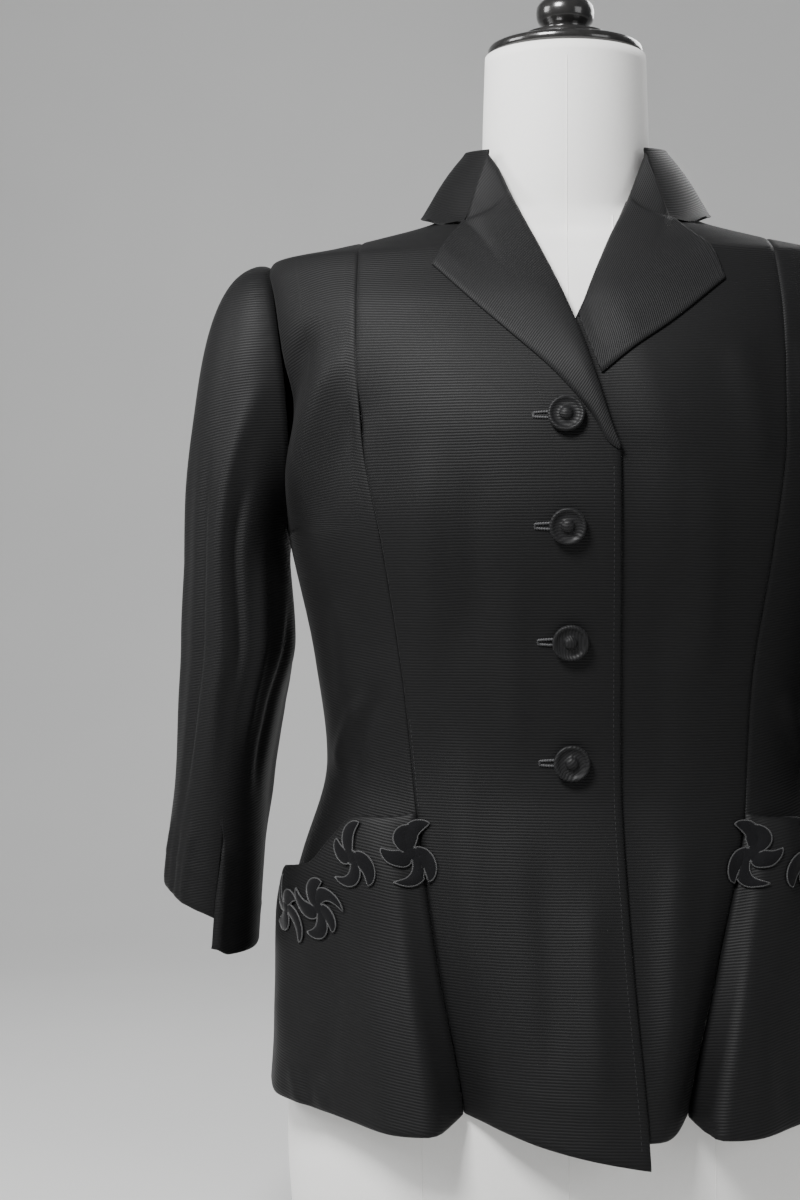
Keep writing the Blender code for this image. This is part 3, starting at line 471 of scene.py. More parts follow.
# The peplum's flare at the hem: share across the panel, distance out, distance along
SIDE_FLARE = (
    (0.00, 0.0000, 0.0000), (0.06, 0.0150, -0.0080), (0.13, 0.0300, -0.0180),
    (0.21, 0.0300, -0.0200), (0.36, 0.0195, -0.0150), (0.52, 0.0140, -0.0100),
    (0.68, 0.0150, -0.0060), (0.84, 0.0090, -0.0030), (1.00, 0.0050, 0.0000),
)
BACK_SIDE_FLARE = (
    (0.00, 0.0050), (0.20, 0.0150), (0.42, 0.0120), (0.66, 0.0240), (0.84, 0.0190), (1.00, 0.0040),
)
BACK_FLARE = (
    (0.00, 0.0040), (0.11, 0.0180), (0.28, 0.0260), (0.50, 0.0190), (0.72, 0.0260),
    (0.89, 0.0180), (1.00, 0.0040),
)
FRONT_FLARE = (
    (-1.00, 0.0000), (-0.83, 0.0050), (-0.60, 0.0140), (-0.22, 0.0240), (0.27, 0.0295),
    (0.66, 0.0300), (0.83, 0.0215), (1.00, 0.0000),
)
# Armhole, seen from the side
ARMHOLE_MIDDLE = 0.6045
ARMHOLE_HALF_HEIGHT = 0.0900
ARMHOLE_REACH = {-1: 0.0610, 1: 0.0670}
ARMHOLE_SQUARE = 2.3

jacket = Rings(JACKET)
right_seam, left_seam = Curve(FRONT_PRINCESS, 1), Curve(FRONT_PRINCESS, 2)
back_seam, right_edge, left_edge = Curve(BACK_PRINCESS), Curve(RIGHT_EDGE), Curve(LEFT_EDGE)
ridge_heights = np.linspace(SHOULDER_TIP - 0.006, 0.7381, 400)
ridge_widths = jacket.width(ridge_heights)


def ridge_height(across):
    """Height of the shoulder seam, or of the neckline nearer the neck."""
    return np.interp(-np.abs(across), -ridge_widths, ridge_heights)


def front_top(across):
    neckline = 0.7295 + np.clip((np.abs(across) - 0.033) / 0.029, 0, 1) * 0.0085
    return np.where(np.abs(across) < 0.062, neckline, ridge_height(across))


def back_top(across):
    neckline = 0.7525 - 0.0145 * ease(np.abs(across) / 0.062)
    return np.where(np.abs(across) < 0.062, neckline, ridge_height(across))


def armhole_across(height, face):
    """Distance across of the armhole's edge, or of the side seam below it."""
    share = np.clip(np.abs(height - ARMHOLE_MIDDLE) / ARMHOLE_HALF_HEIGHT, 0, 1)
    depth = ARMHOLE_REACH[face] * (1 - share**ARMHOLE_SQUARE) ** (1 / ARMHOLE_SQUARE)
    reach = jacket.front(height) if face < 0 else jacket.back(height)
    square = jacket.square(height)
    edge = jacket.width(height) * (1 - np.clip(depth / reach, 0, 1) ** square) ** (1 / square)
    low = np.where(height < UNDERARM, jacket.width(height), edge)
    return np.where(height > SHOULDER_TIP, jacket.width(SHOULDER_TIP), low)


def mirrored(curve):
    """The same curve on the other side of the middle."""
    return lambda height: -curve(height)


class Panel:
    """A cut piece of the body, from its hem up to the neck, shoulder and armhole."""

    def __init__(self, side, face, inner, outer, hem, flare, top, by_place=False, under=False):
        self.side, self.face, self.inner, self.outer = side, face, inner, outer
        self.hem, self.top, self.by_place, self.under = hem, top, by_place, under
        self.flare_out = Curve(flare, 1)
        self.flare_along = Curve(flare, 2) if len(flare[0]) > 2 else None

    def across(self, share, height):
        """Distance across, signed along the panel's side."""
        start, end = self.inner(height), self.outer(height)
        straight = start + (end - start) * share
        if self.by_place or self.side == 0:
            return straight
        around = jacket.turn(start, height) * (1 - share) + jacket.turn(end, height) * share
        mix = ease((height - 0.55) / 0.07)
        return jacket.across(around * (1 - mix) + jacket.turn(straight, height) * mix, height)

    def surface(self, share, height):
        """Points of the cloth's middle surface."""
        share, height = np.broadcast_arrays(np.asarray(share, float), np.asarray(height, float))
        across = self.across(share, height)
        side = self.side or 1
        x, y = side * across, self.face * jacket.depth(across, height, self.face)
        reach = jacket.front(height) if self.face < 0 else jacket.back(height)
        normal_x, normal_y = x / jacket.width(height) ** 2, y / reach**2
        length = np.hypot(normal_x, normal_y) + 1e-9
        normal_x, normal_y = normal_x / length, normal_y / length
        weight = np.clip((FLARE_TOP - height) / (FLARE_TOP - HEM_LEVEL), 0, 1.1) ** 1.15
        if self.by_place:
            out = self.flare_out(np.where(x < 0, x / right_seam(height), x / left_seam(height))) * weight
        else:
            out = self.flare_out(share) * weight
        if self.under:
            out = out - UNDERLAP * (1 - ease((x - right_edge(height) - 0.004) / UNDERLAP_RAMP))
        x, y = x + normal_x * out, y + normal_y * out
        if self.flare_along is not None:
            along = self.flare_along(share) * weight * -self.face * side
            x, y = x - normal_y * along, y + normal_x * along
        return np.stack([x, y, height], axis=-1)

    def top_height(self, share):
        """Height where a column of the panel meets its top edge."""
        height = np.full(np.shape(share), SHOULDER_TIP)
        for _ in range(30):
            start, end = self.inner(height), self.outer(height)
            height = self.top(start + (end - start) * share)
        return height

    def grid(self, shares, climb):
        """Points from hem to top, even along each column, and the flat cut they come from."""
        bottom, top = self.hem(shares), self.top_height(shares)
        heights = bottom[:, None] + (top - bottom)[:, None] * (1 - (1 - np.linspace(0, 1, 260)) ** 2)
        dense = self.surface(shares[:, None], heights)
        lengths = run_along(dense, 1)
        points = np.empty((len(shares), len(climb), 3))
        up = np.empty(points.shape[:2])
        for column in range(len(shares)):
            wanted = lengths[column, -1] * climb
            for axis in range(3):
                points[column, :, axis] = np.interp(wanted, lengths[column], dense[column, :, axis])
            up[column] = wanted - np.interp(WAIST, heights[column], lengths[column])
        return points, np.stack([run_along(points, 0), up], axis=-1)

    def frame_at(self, share, height):
        """Points of the surface and their outward normals."""
        here = self.surface(share, height)
        aside = self.surface(np.clip(share + 0.01, 0, 1), height)
        aside = aside - self.surface(np.clip(share - 0.01, 0, 1), height)
        upward = self.surface(share, height + 0.002) - self.surface(share, height - 0.002)
        normal = np.cross(aside, upward)
        normal /= np.linalg.norm(normal, axis=-1, keepdims=True)
        flip = np.sign((normal[..., :2] * here[..., :2]).sum(axis=-1, keepdims=True))
        return here, normal * flip


def grid_normals(points, middle=(0.0, 0.0, 0.4)):
    """Unit normals of a grid, turned away from a middle."""
    normals = np.cross(np.gradient(points, axis=0), np.gradient(points, axis=1))
    normals /= np.linalg.norm(normals, axis=-1, keepdims=True) + 1e-12
    return normals if ((points - np.asarray(middle)) * normals).sum() > 0 else -normals


CREASE_DEPTH = 2.1


def creases(across, up, rows):
    """Height of soft ridges and troughs: each from a point to a point, bowed, wide and high."""
    total = np.zeros(np.shape(across))
    for x1, z1, x2, z2, bow, width, height in rows:
        run = math.hypot(x2 - x1, z2 - z1)
        along = ((across - x1) * (x2 - x1) + (up - z1) * (z2 - z1)) / run**2
        aside = ((across - x1) * (z2 - z1) - (up - z1) * (x2 - x1)) / run
        aside = aside - bow * 4 * along * (1 - along)
        ends = ease(along / 0.3) * ease((1 - along) / 0.3)
        total += CREASE_DEPTH * height * np.exp(-((aside / width) ** 2)) * ends
    return total


def turned_edge(distance, depth=0.0011, reach=0.0032):
    """How far cloth rolls in at an edge, by distance from it."""
    return -depth * np.clip(1 - distance / reach, 0, 1) ** 2


def edge_shares(count, width):
    """Shares across a panel, with fine steps at both edges."""
    fine = np.array([0.0, 0.0009, 0.0020, 0.0034]) / width
    return np.concatenate([fine, np.linspace(0.0065 / width, 1 - 0.0065 / width, count), 1 - fine[::-1]])


def cut_size(points):
    """Width, length and area of a grid of cloth laid flat."""
    across = np.linalg.norm(np.diff(points, axis=0), axis=2).sum(axis=0).max()
    along = np.linalg.norm(np.diff(points, axis=1), axis=2).sum(axis=1).max()
    first = np.cross(points[1:, :-1] - points[:-1, :-1], points[:-1, 1:] - points[:-1, :-1])
    second = np.cross(points[1:, :-1] - points[1:, 1:], points[:-1, 1:] - points[1:, 1:])
    area = (np.linalg.norm(first, axis=2).sum() + np.linalg.norm(second, axis=2).sum()) / 2
    return (float(across), float(along)), float(min(area, across * along))


def ribbed(name, crest_painted_highlight, valley_painted_shade, rough=0.58, tilt=0.0, wander=0.0008):
    """Faille: crosswise ribs of round yarn bound by fine warp, seen as a soft sheen, with a painted
    highlight on each rib's top and painted shade between the ribs.
    """
    pitch = 0.0019
    material, shader, start = start_material(name, Sheen_Weight=0.03, Sheen_Roughness=0.40,
                                             Specular_IOR_Level=0.20)
    place = start.place()
    cut = start.node("ShaderNodeUVMap", {"uv_map": "cut"})
    over, up = start.cut("X"), start.cut("Y")
    line = up + over * tilt
    drift = start.noise(cut, 60.0, 2.0)
    rib = start.math("SINE", (line + drift * wander) * (2 * math.pi / pitch)) * 0.5 + 0.5
    stretched = start.node("ShaderNodeCombineXYZ", None, {0: over * 190.0, 1: line * 1300.0})
    slub = start.noise(stretched, 1.0, 3.0)
    warp = start.math("SINE", over * (2 * math.pi / 0.00052)) * 0.5 + 0.5
    rubbed = start.noise(place, 14.0, 4.0)
    # The colour is partly painted light: each rib's top is painted lighter as a painted highlight and the
    # dips between ribs darker as painted shade; the slubs and the rubbed wear are the cloth's own tone.
    tone = rib * 0.52 + slub * 0.55 + rubbed * 0.22 - 0.18
    height = rib ** 0.7 * 0.75 + slub * 0.18 + warp * rib * 0.10
    feed(shader,
         Base_Color=tone.blend((*valley_painted_shade, 1), (*crest_painted_highlight, 1)),
         Roughness=(1 - rib) * 0.16 + rubbed * 0.12 + (rough - 0.10),
         Normal=start.bump(0.50, 0.00036, height))
    return material


faille = ribbed("black_faille", (0.0052, 0.0052, 0.0056), (0.0008, 0.0008, 0.0009))
# A copy of the same faille with its ribs turned and its tone painted a little lighter: painted light on the
# side fronts, pockets and sleeves.
faille_side_painted_light = ribbed("black_faille_side_painted_light", (0.0060, 0.0060, 0.0064), (0.0009, 0.0009, 0.0010), tilt=-0.14)

PANELS = {
    "front_right_centre": Panel(-1, -1, mirrored(right_edge), right_seam, Curve(FRONT_HEM, 1),
                                FRONT_FLARE, front_top, True),
    "front_left_centre": Panel(1, -1, left_edge, left_seam, Curve(FRONT_HEM, 2),
                               FRONT_FLARE, front_top, True, True),
}
for word, side, seam in (("right", -1, right_seam), ("left", 1, left_seam)):
    PANELS[f"front_{word}_side"] = Panel(side, -1, seam, lambda height: armhole_across(height, -1),
                                         Curve(SIDE_HEM), SIDE_FLARE, ridge_height)
for word, side in (("right", -1), ("left", 1)):
    PANELS[f"back_{word}_side"] = Panel(side, 1, lambda height: armhole_across(height, 1), back_seam,
                                        Curve(BACK_SIDE_HEM), BACK_SIDE_FLARE, ridge_height)
PANELS["back_centre"] = Panel(0, 1, mirrored(back_seam), back_seam, Curve(BACK_HEM), BACK_FLARE,
                              back_top)
# Soft folds seen from the front: place and height of both ends, bow, width, height
FRONT_CREASES = (
    (-0.138, 0.640, -0.183, 0.520, 0.006, 0.0100, 0.0022),
    (-0.160, 0.655, -0.190, 0.560, 0.004, 0.0080, -0.0020),
    (-0.120, 0.610, -0.166, 0.500, 0.005, 0.0110, -0.0013),
    (-0.128, 0.412, -0.152, 0.352, 0.004, 0.0050, 0.0015),
    (-0.116, 0.420, -0.140, 0.345, 0.004, 0.0050, -0.0012),
    (-0.150, 0.480, -0.145, 0.390, -0.003, 0.0080, 0.0010),
    (-0.088, 0.580, -0.081, 0.410, 0.004, 0.0110, 0.0011),
    (-0.064, 0.560, -0.060, 0.430, -0.003, 0.0100, -0.0008),
    (-0.034, 0.500, -0.030, 0.350, 0.003, 0.0100, 0.0006),
    (-0.070, 0.400, -0.052, 0.200, 0.004, 0.0130, 0.0011),
    (-0.020, 0.330, -0.010, 0.165, -0.003, 0.0120, -0.0009),
    (0.014, 0.300, 0.022, 0.150, 0.003, 0.0100, 0.0009),
    (0.060, 0.500, 0.064, 0.330, 0.004, 0.0120, -0.0009),
    (0.082, 0.570, 0.080, 0.400, -0.004, 0.0110, 0.0011),
    (0.072, 0.330, 0.062, 0.160, 0.003, 0.0100, 0.0011),
    (0.104, 0.640, 0.118, 0.540, -0.003, 0.0110, 0.0010),
    (0.142, 0.640, 0.180, 0.520, -0.006, 0.0100, 0.0020),
    (0.160, 0.650, 0.189, 0.560, -0.004, 0.0080, -0.0017),
    (0.135, 0.415, 0.156, 0.350, -0.004, 0.0060, 0.0014),
    (-0.180, 0.300, -0.184, 0.165, 0.004, 0.0090, 0.0012),
    (-0.150, 0.250, -0.158, 0.150, -0.004, 0.0080, -0.0012),
    (0.176, 0.290, 0.182, 0.160, -0.004, 0.0090, 0.0012),
    (0.128, 0.240, 0.138, 0.145, 0.004, 0.0080, -0.0010),
    (-0.176, 0.170, -0.170, 0.142, 0.001, 0.0030, 0.0008),
    (-0.166, 0.172, -0.163, 0.143, 0.001, 0.0026, -0.0007),
    (-0.156, 0.168, -0.154, 0.143, 0.001, 0.0028, 0.0007),
)
BACK_CREASES = (
    (-0.030, 0.430, -0.022, 0.330, 0.003, 0.0080, 0.0012),
    (0.034, 0.420, 0.024, 0.335, -0.003, 0.0090, -0.0011),
    (-0.060, 0.560, -0.042, 0.420, 0.004, 0.0110, 0.0011),
    (0.066, 0.580, 0.046, 0.430, -0.005, 0.0110, 0.0012),
    (0.000, 0.330, 0.004, 0.170, 0.003, 0.0110, -0.0010),
    (-0.130, 0.630, -0.160, 0.520, 0.005, 0.0100, 0.0016),
    (0.126, 0.620, 0.158, 0.515, -0.005, 0.0100, 0.0015),
    (-0.150, 0.420, -0.130, 0.350, 0.003, 0.0070, 0.0013),
    (0.148, 0.415, 0.128, 0.345, -0.003, 0.0070, 0.0012),
    (-0.120, 0.300, -0.130, 0.160, 0.004, 0.0110, 0.0011),
    (0.118, 0.310, 0.132, 0.165, -0.004, 0.0110, 0.0012),
    (0.010, 0.680, 0.060, 0.600, 0.006, 0.0130, 0.0008),
    (-0.016, 0.675, -0.058, 0.590, -0.006, 0.0130, 0.0008),
)
climb = np.concatenate([[0, 0.0016, 0.0036, 0.0062], 1 - (1 - np.linspace(0.011, 1, 168)) ** 1.25])
for name, panel in PANELS.items():
    wide = 0.17 if "centre" in name else 0.10
    shares = edge_shares(56 if "centre" in name else 44, wide)
    points, flat = panel.grid(shares, climb)
    size, area = cut_size(points)
    normals = grid_normals(points)
    across_inner, across_outer = flat[..., 0], flat[-1, :, 0] - flat[..., 0]
    above_hem = flat[..., 1] - flat[:, :1, 1]
    roll = turned_edge(across_inner) + turned_edge(across_outer) + turned_edge(above_hem, 0.0009)
    hem_mark = 0.00035 * np.exp(-(((above_hem - 0.030) / 0.0022) ** 2))
    folds = creases(points[..., 0], points[..., 2], FRONT_CREASES if panel.face < 0 else BACK_CREASES)
    seam_hold = ease(np.minimum(across_inner, across_outer) / 0.012)
    hold = np.where((points[..., 2] < 0.40) | (across_outer > 0.01), seam_hold, 1) * ease(
        (0.735 - points[..., 2]) / 0.03)
    points = points + normals * (roll + hem_mark + folds * hold)[..., None]
    mesh = bmesh.new()
    lay_grid(mesh, points, flat)
    piece = make_piece(f"cloth_{name}", mesh, faille_side_painted_light if "side" in name else faille,
                       [name], WALL)


# Hip pockets: a second layer of the same faille over each side front, caught in its seams
# and hem, its shaped top edge standing open a few millimetres.
POCKET_TOP = (
    (0.00, 0.3350), (0.10, 0.3310), (0.17, 0.3294), (0.30, 0.3280), (0.42, 0.3140), (0.56, 0.2960),
    (0.80, 0.2905), (1.00, 0.2870),
)
pocket_top = Curve(POCKET_TOP)


def pocket_out(share, height):
    """How far a pocket stands off its side front, most along its open edge."""
    gape = 0.0090 * ease(share / 0.25) - 0.0045 * ease((share - 0.8) / 0.2)
    return LAYER + gape * ease(1 - (pocket_top(share) - height) / 0.090)


shares = edge_shares(44, 0.10)
rise = np.concatenate([[0, 0.005, 0.012, 0.022], np.linspace(0.04, 0.96, 50), [0.975, 0.988, 0.995, 1]])
for word in ("right", "left"):
    panel = PANELS[f"front_{word}_side"]
    low, high = panel.hem(shares)[:, None], pocket_top(shares)[:, None]
    heights = low + (high - low) * rise
    across = np.broadcast_to(shares[:, None], heights.shape)
    points, normals = panel.frame_at(across, heights)
    over = run_along(points, 0)
    inner, outer = over, over[-1] - over
    below_top, above_hem = high - heights, heights - low
    size, area = cut_size(points)
    out = pocket_out(across, heights) * ease((inner + 0.0008) / 0.004)
    out = out + turned_edge(inner) + turned_edge(outer) + turned_edge(above_hem, 0.0009)
    out = out + turned_edge(below_top, 0.0010)
    out = out + creases(points[..., 0], points[..., 2], FRONT_CREASES) * ease(
        np.minimum(inner, outer) / 0.012)
    points = points + normals * out[..., None]
    mesh = bmesh.new()
    lay_grid(mesh, points, np.stack([over, heights - WAIST], axis=-1))
    piece = make_piece(f"hip_pocket_{word}", mesh, faille_side_painted_light, [f"pocket_{word}"], WALL)


# Velvet applique: sickle leaves cut from black velvet, laid round small cores along each
# pocket's top edge, every leaf edged with a couched cord.
WHORLS = (
    (0.0060, 0.3090, 0.0205, 5, 20),
    (0.0430, 0.3030, 0.0190, 4, 75),
    (0.0800, 0.2700, 0.0195, 5, 40),
    (0.1150, 0.2660, 0.0185, 4, 10),
)
# Each leaf: share of the whorl's radius, curl and lean in degrees, half width
LEAVES = (
    (1.12, 58, 0, 0.250),
    (0.86, 74, 14, 0.215),
    (1.20, 44, -8, 0.235),
    (0.94, 66, 10, 0.260),
    (1.08, 80, -12, 0.205),
    (0.80, 50, 6, 0.240),
    (1.16, 62, -4, 0.225),
)


def hip_points(word, along, height, lift):
    """Points over the hip: distances from the princess seam along the cloth, either side of it."""
    side_front, centre = PANELS[f"front_{word}_side"], PANELS[f"front_{word}_centre"]
    shares = np.linspace(0, 1, 80)
    along, height = np.broadcast_arrays(along, height)
    levels = np.linspace(0.235, 0.345, 23)
    table = side_front.surface(shares[None, :], levels[:, None])
    lengths = run_along(table, 1)
    found = np.empty(along.shape)
    for index in np.ndindex(along.shape):
        spot = np.clip((height[index] - levels[0]) / (levels[1] - levels[0]), 0, len(levels) - 1.001)
        row = int(spot)
        reach = lengths[row] * (1 - spot + row) + lengths[row + 1] * (spot - row)
        found[index] = np.interp(along[index], reach, shares)
    here, normal = side_front.frame_at(found, height)
    held = ease(np.minimum(along, lengths[:, -1].min() - along) / 0.012)
    folds = creases(here[..., 0], here[..., 2], FRONT_CREASES) * held
    here = here + normal * (lift + pocket_out(found, height) + folds)[..., None]
    start = centre.surface(1.0, height)
    width = np.linalg.norm(centre.surface(0.9, height) - start, axis=-1) / 0.1
    beyond, beyond_normal = centre.frame_at(np.clip(1 + along / width, 0, 1), height)
    beyond = beyond + beyond_normal * (lift + LAYER * ease(1 + along / 0.006))[..., None]
    return np.where((along >= 0)[..., None], here, beyond)


velvet, shader, start = start_material("black_velvet", Roughness=0.95, Sheen_Weight=0.22,
                                       Sheen_Roughness=0.35, Specular_IOR_Level=0.10)
place = start.place()
nap = start.noise(place, 900.0, 3.0)
brushed = start.noise(place, 55.0, 3.0)
feed(shader,
     Base_Color=(nap * 0.5 + brushed * 0.5).blend((0.0015, 0.0015, 0.0018, 1), (0.009, 0.009, 0.010, 1)),
     Normal=start.bump(0.6, 0.0004, nap * 0.7 + brushed * 0.6))
corded, shader, start = start_material("couched_cord", Sheen_Weight=0.20, Specular_IOR_Level=0.5)
strand = 2 * math.pi / 0.0011
# The cord's strands are painted lighter on their tops and darker in the grooves between them: painted
# highlight and painted shade along the cord, as well as its bump.
strands_and_painted_light = start.math("SINE", start.cut("Y") * strand + start.cut("X") * 1000.0) * 0.5 + 0.5
feed(shader,
     Base_Color=strands_and_painted_light.blend((0.006, 0.006, 0.0065, 1), (0.030, 0.030, 0.031, 1)),
     Roughness=0.62 - strands_and_painted_light * 0.12,
     Normal=start.bump(0.7, 0.0002, strands_and_painted_light))

for word in ("right", "left"):
    cords = bmesh.new()
    for number, (along, height, radius, lobes, turn) in enumerate(WHORLS, start=1):
        mesh = bmesh.new()
        area = 0.0
        for lobe in range(lobes + 1):
            steps, wide = np.linspace(0, 1, 20), np.linspace(-1, 1, 9)
            grown, curl, lean, plump = LEAVES[(lobe + number) % len(LEAVES)]
            if lobe == lobes:
                reach, spread = np.linspace(0.0, 0.24, 6) * radius, np.linspace(0, 2 * math.pi, 25)
                over = along + reach[None, :] * np.cos(spread)[:, None]
                up = height + reach[None, :] * np.sin(spread)[:, None]
                dome = 0.0006 * (1 - (reach / reach[-1]) ** 2)[None, :] + over * 0
                rim = np.stack([over[:, -1], up[:, -1]], axis=-1)
            else:
                heading = math.radians(turn + lean) + 2 * math.pi * lobe / lobes
                bend = heading + math.radians(curl) * steps**1.5
                reach = radius * (0.06 + (grown - 0.06) * steps)
                line = np.stack([reach * np.cos(bend), reach * np.sin(bend)], axis=-1)
                ahead = np.gradient(line, axis=0)
                ahead /= np.linalg.norm(ahead, axis=1, keepdims=True)
                sideways = np.stack([-ahead[:, 1], ahead[:, 0]], axis=-1)
                half = radius * plump * np.sin(math.pi * np.clip(steps * 0.95 + 0.05, 0, 1) ** 0.95) ** 0.62
                leaf = line[:, None] + sideways[:, None] * half[:, None, None] * wide[None, :, None]
                over, up = along + leaf[..., 0], height + leaf[..., 1]
                dome = 0.0008 * (1 - wide**2)[None, :] * np.sin(math.pi * steps)[:, None] ** 0.5
                rim = np.concatenate([np.stack([over[:, 0], up[:, 0]], -1),
                                      np.stack([over[::-1, -1], up[::-1, -1]], -1)])
                rim = np.concatenate([rim, rim[:1]])
            points = hip_points(word, over, up, WALL / 2 + 0.0010 + dome)
            lay_grid(mesh, points, np.stack([over, up], axis=-1))
            area += cut_size(points)[1]
            lay_tube(cords, hip_points(word, rim[:, 0], rim[:, 1], WALL / 2 + 0.0013), 0.00050, 6)
        bmesh.ops.remove_doubles(mesh, verts=mesh.verts, dist=2e-5)
        piece = make_piece(f"velvet_{word}_{number}", mesh, velvet,
                           [f"applique_{word}_{number}"], 0.0010)
    shut(cords)
    make_piece(f"velvet_cords_{word}", cords, corded)


# Lapels: the turned-back tops of the centre fronts with their facings, rolled soft at the
# roll line and pressed flat at their edges.
RIGHT_LAPEL_EDGE = (
    (0.0306, 0.5625), (0.0247, 0.5665), (0.0145, 0.5830), (0.0030, 0.5980), (-0.0116, 0.6140),
    (-0.0346, 0.6350), (-0.0575, 0.6560), (-0.0870, 0.6850),
)
RIGHT_LAPEL_ROLL = (
    (0.0314, 0.5640), (0.0268, 0.5750), (0.0163, 0.6080), (0.0040, 0.6440), (-0.0120, 0.6826),
    (-0.0330, 0.7280), (-0.0440, 0.7530), (-0.0520, 0.7655),
)
RIGHT_LAPEL_TOP = (
    (-0.0520, 0.7655), (-0.0595, 0.7430), (-0.0665, 0.7165), (-0.0775, 0.7010), (-0.0870, 0.6850),
)
LEFT_LAPEL_EDGE = ((0.0200, 0.6105), (0.0410, 0.6275), (0.0643, 0.6440), (0.0990, 0.6730))
LEFT_LAPEL_ROLL = (
    (0.0062, 0.6480), (0.0144, 0.6700), (0.0271, 0.7027), (0.0385, 0.7280), (0.0480, 0.7530),
    (0.0525, 0.7655),
)
LEFT_LAPEL_TOP = (
    (0.0525, 0.7655), (0.0600, 0.7420), (0.0680, 0.7165), (0.0790, 0.7050), (0.0920, 0.6930),
    (0.0990, 0.6730),
)
RIGHT_LAPEL_FOOT = (RIGHT_LAPEL_ROLL[0], RIGHT_LAPEL_EDGE[0])
LEFT_LAPEL_FOOT = ((0.0062, 0.6480), (0.0125, 0.6300), (0.0200, 0.6105))
LAPEL_LEAN = ((0.700, 0.0300), (0.717, 0.0525), (0.740, 0.0445), (0.766, 0.0370))


def chain(rows, share):
    """Points on a chain of outline points, by share of its length."""
    rows = np.array(rows)
    lengths = run_along(rows, 0)
    return np.stack([Curve(np.stack([lengths, rows[:, axis]], -1))(share * lengths[-1])
                     for axis in range(rows.shape[1])], axis=-1)


def front_skin(across, height, out, under=False):
    """Points off the front of the body at places across and heights."""

    def surface(x, z):
        low = UNDERLAP * (1 - ease((x - right_edge(z) - 0.004) / UNDERLAP_RAMP)) if under else 0.0
        return np.stack(np.broadcast_arrays(x, -jacket.depth(x, z, -1) + low, z), axis=-1)

    step = 0.0015
    sideways = surface(across + step, height) - surface(across - step, height)
    normal = np.cross(sideways, surface(across, height + step) - surface(across, height - step))
    normal /= np.linalg.norm(normal, axis=-1, keepdims=True)
    return surface(across, height) + normal * np.asarray(out)[..., None]


# The same faille as the fronts, its tone painted nearly twice as light: painted light on the lapels.
faille_lapel_painted_light = ribbed("black_faille_lapel_painted_light", (0.0095, 0.0095, 0.0101), (0.0016, 0.0016, 0.0017), tilt=0.35)
lapel_lean = Curve(LAPEL_LEAN)
over = np.concatenate([[0, 0.012, 0.03, 0.055], np.linspace(0.09, 0.94, 34), [0.96, 0.98, 0.99, 1]])[:, None]
up = np.linspace(0, 1, 96)[None, :]
for word, roll, edge, top, foot in (
    ("right", RIGHT_LAPEL_ROLL, RIGHT_LAPEL_EDGE, RIGHT_LAPEL_TOP, RIGHT_LAPEL_FOOT),
    ("left", LEFT_LAPEL_ROLL, LEFT_LAPEL_EDGE, LEFT_LAPEL_TOP, LEFT_LAPEL_FOOT),
):
    roll_line, edge_line = chain(roll, up[0]), chain(edge, up[0])
    foot_line, top_line = chain(foot, over[:, 0]), chain(top, over[:, 0])
    side_part = (1 - over)[..., None] * roll_line[None] + over[..., None] * edge_line[None]
    end_part = (1 - up)[..., None] * foot_line[:, None] + up[..., None] * top_line[:, None]
    corner = ((1 - up)[..., None] * ((1 - over)[..., None] * roll_line[0] + over[..., None] * edge_line[0])
              + up[..., None] * ((1 - over)[..., None] * roll_line[-1] + over[..., None] * edge_line[-1]))
    across, height = np.moveaxis(side_part + end_part - corner, -1, 0)
    spring = 0.0030 * np.sin(math.pi * np.minimum(1, over * 0.8 + 0.2)) * ease(up / 0.3)
    spring = np.maximum(spring, 0 if word == "right" else 0.0004)
    rolled = np.sqrt(np.clip(over / 0.055, 0, 1) * (2 - np.clip(over / 0.055, 0, 1)))
    points = front_skin(across, height, (LAYER + spring) * (0.25 + 0.75 * rolled), word == "left")
    lean = -lapel_lean(height) - spring * rolled
    back = ease((points[..., 1] - lean + 0.002) / 0.004) * ease((height - 0.699) / 0.010)
    points = points + back[..., None] * (np.stack([across, lean, height], axis=-1) - points)
    eased = points[..., 1].copy()
    for _ in range(300):
        eased[:, 1:-1] = (eased[:, :-2] + 2 * eased[:, 1:-1] + eased[:, 2:]) / 4
    points[..., 1] += (eased - points[..., 1]) * ease((height - 0.665) / 0.025)
    size, area = cut_size(points)
    width, length = run_along(points, 0), run_along(points, 1)
    pressed = turned_edge(width[-1] - width, 0.0009, 0.0030)
    normals = grid_normals(points)
    points = points + normals * pressed[..., None]
    mesh = bmesh.new()
    lay_grid(mesh, points, np.stack([width, length], axis=-1))
    piece = make_piece(f"turned_lapel_{word}", mesh, faille_lapel_painted_light, [f"lapel_{word}"], WALL)


# The collar: one strip of faille over its under collar, standing round the neck, rolled
# over and falling on the shoulders, with its ends cut off at the notches.
COLLAR_SEAM = (
    (0.00, 0, 0.0614, 0.7545), (0.30, 37, 0.0614, 0.7515), (0.60, 72, 0.0620, 0.7440),
    (0.85, 97, 0.0622, 0.7410), (1.00, 112, 0.0622, 0.7412),
)
COLLAR_ROLL = (
    (0.00, 0, 0.0625, 0.7830), (0.30, 38, 0.0630, 0.7810), (0.60, 75, 0.0630, 0.7735),
    (0.85, 103, 0.0635, 0.7685), (1.00, 123, 0.0648, 0.7650),
)
COLLAR_FALL = (
    (0.00, 0, 0.0780, 0.7640), (0.30, 37, 0.0800, 0.7630), (0.60, 72, 0.0835, 0.7560),
    (0.85, 104, 0.0850, 0.7440), (1.00, 125, 0.0840, 0.7215),
)
COLLAR_EDGE = (
    (0.00, 0, 0.0850, 0.7420), (0.30, 34, 0.0900, 0.7400), (0.60, 64, 0.0970, 0.7340),
    (0.85, 90, 0.0985, 0.7290), (1.00, 109, 0.0980, 0.7225),
)
shares = np.linspace(-1, 1, 121)


def collar_line(table):
    """A line round the neck from a table of one half."""
    turn = np.radians(Curve(table, 1)(np.abs(shares))) * np.sign(shares)
    reach = Curve(table, 2)(np.abs(shares))
    return np.stack([reach * np.sin(turn), reach * np.cos(turn), Curve(table, 3)(np.abs(shares))], axis=-1)


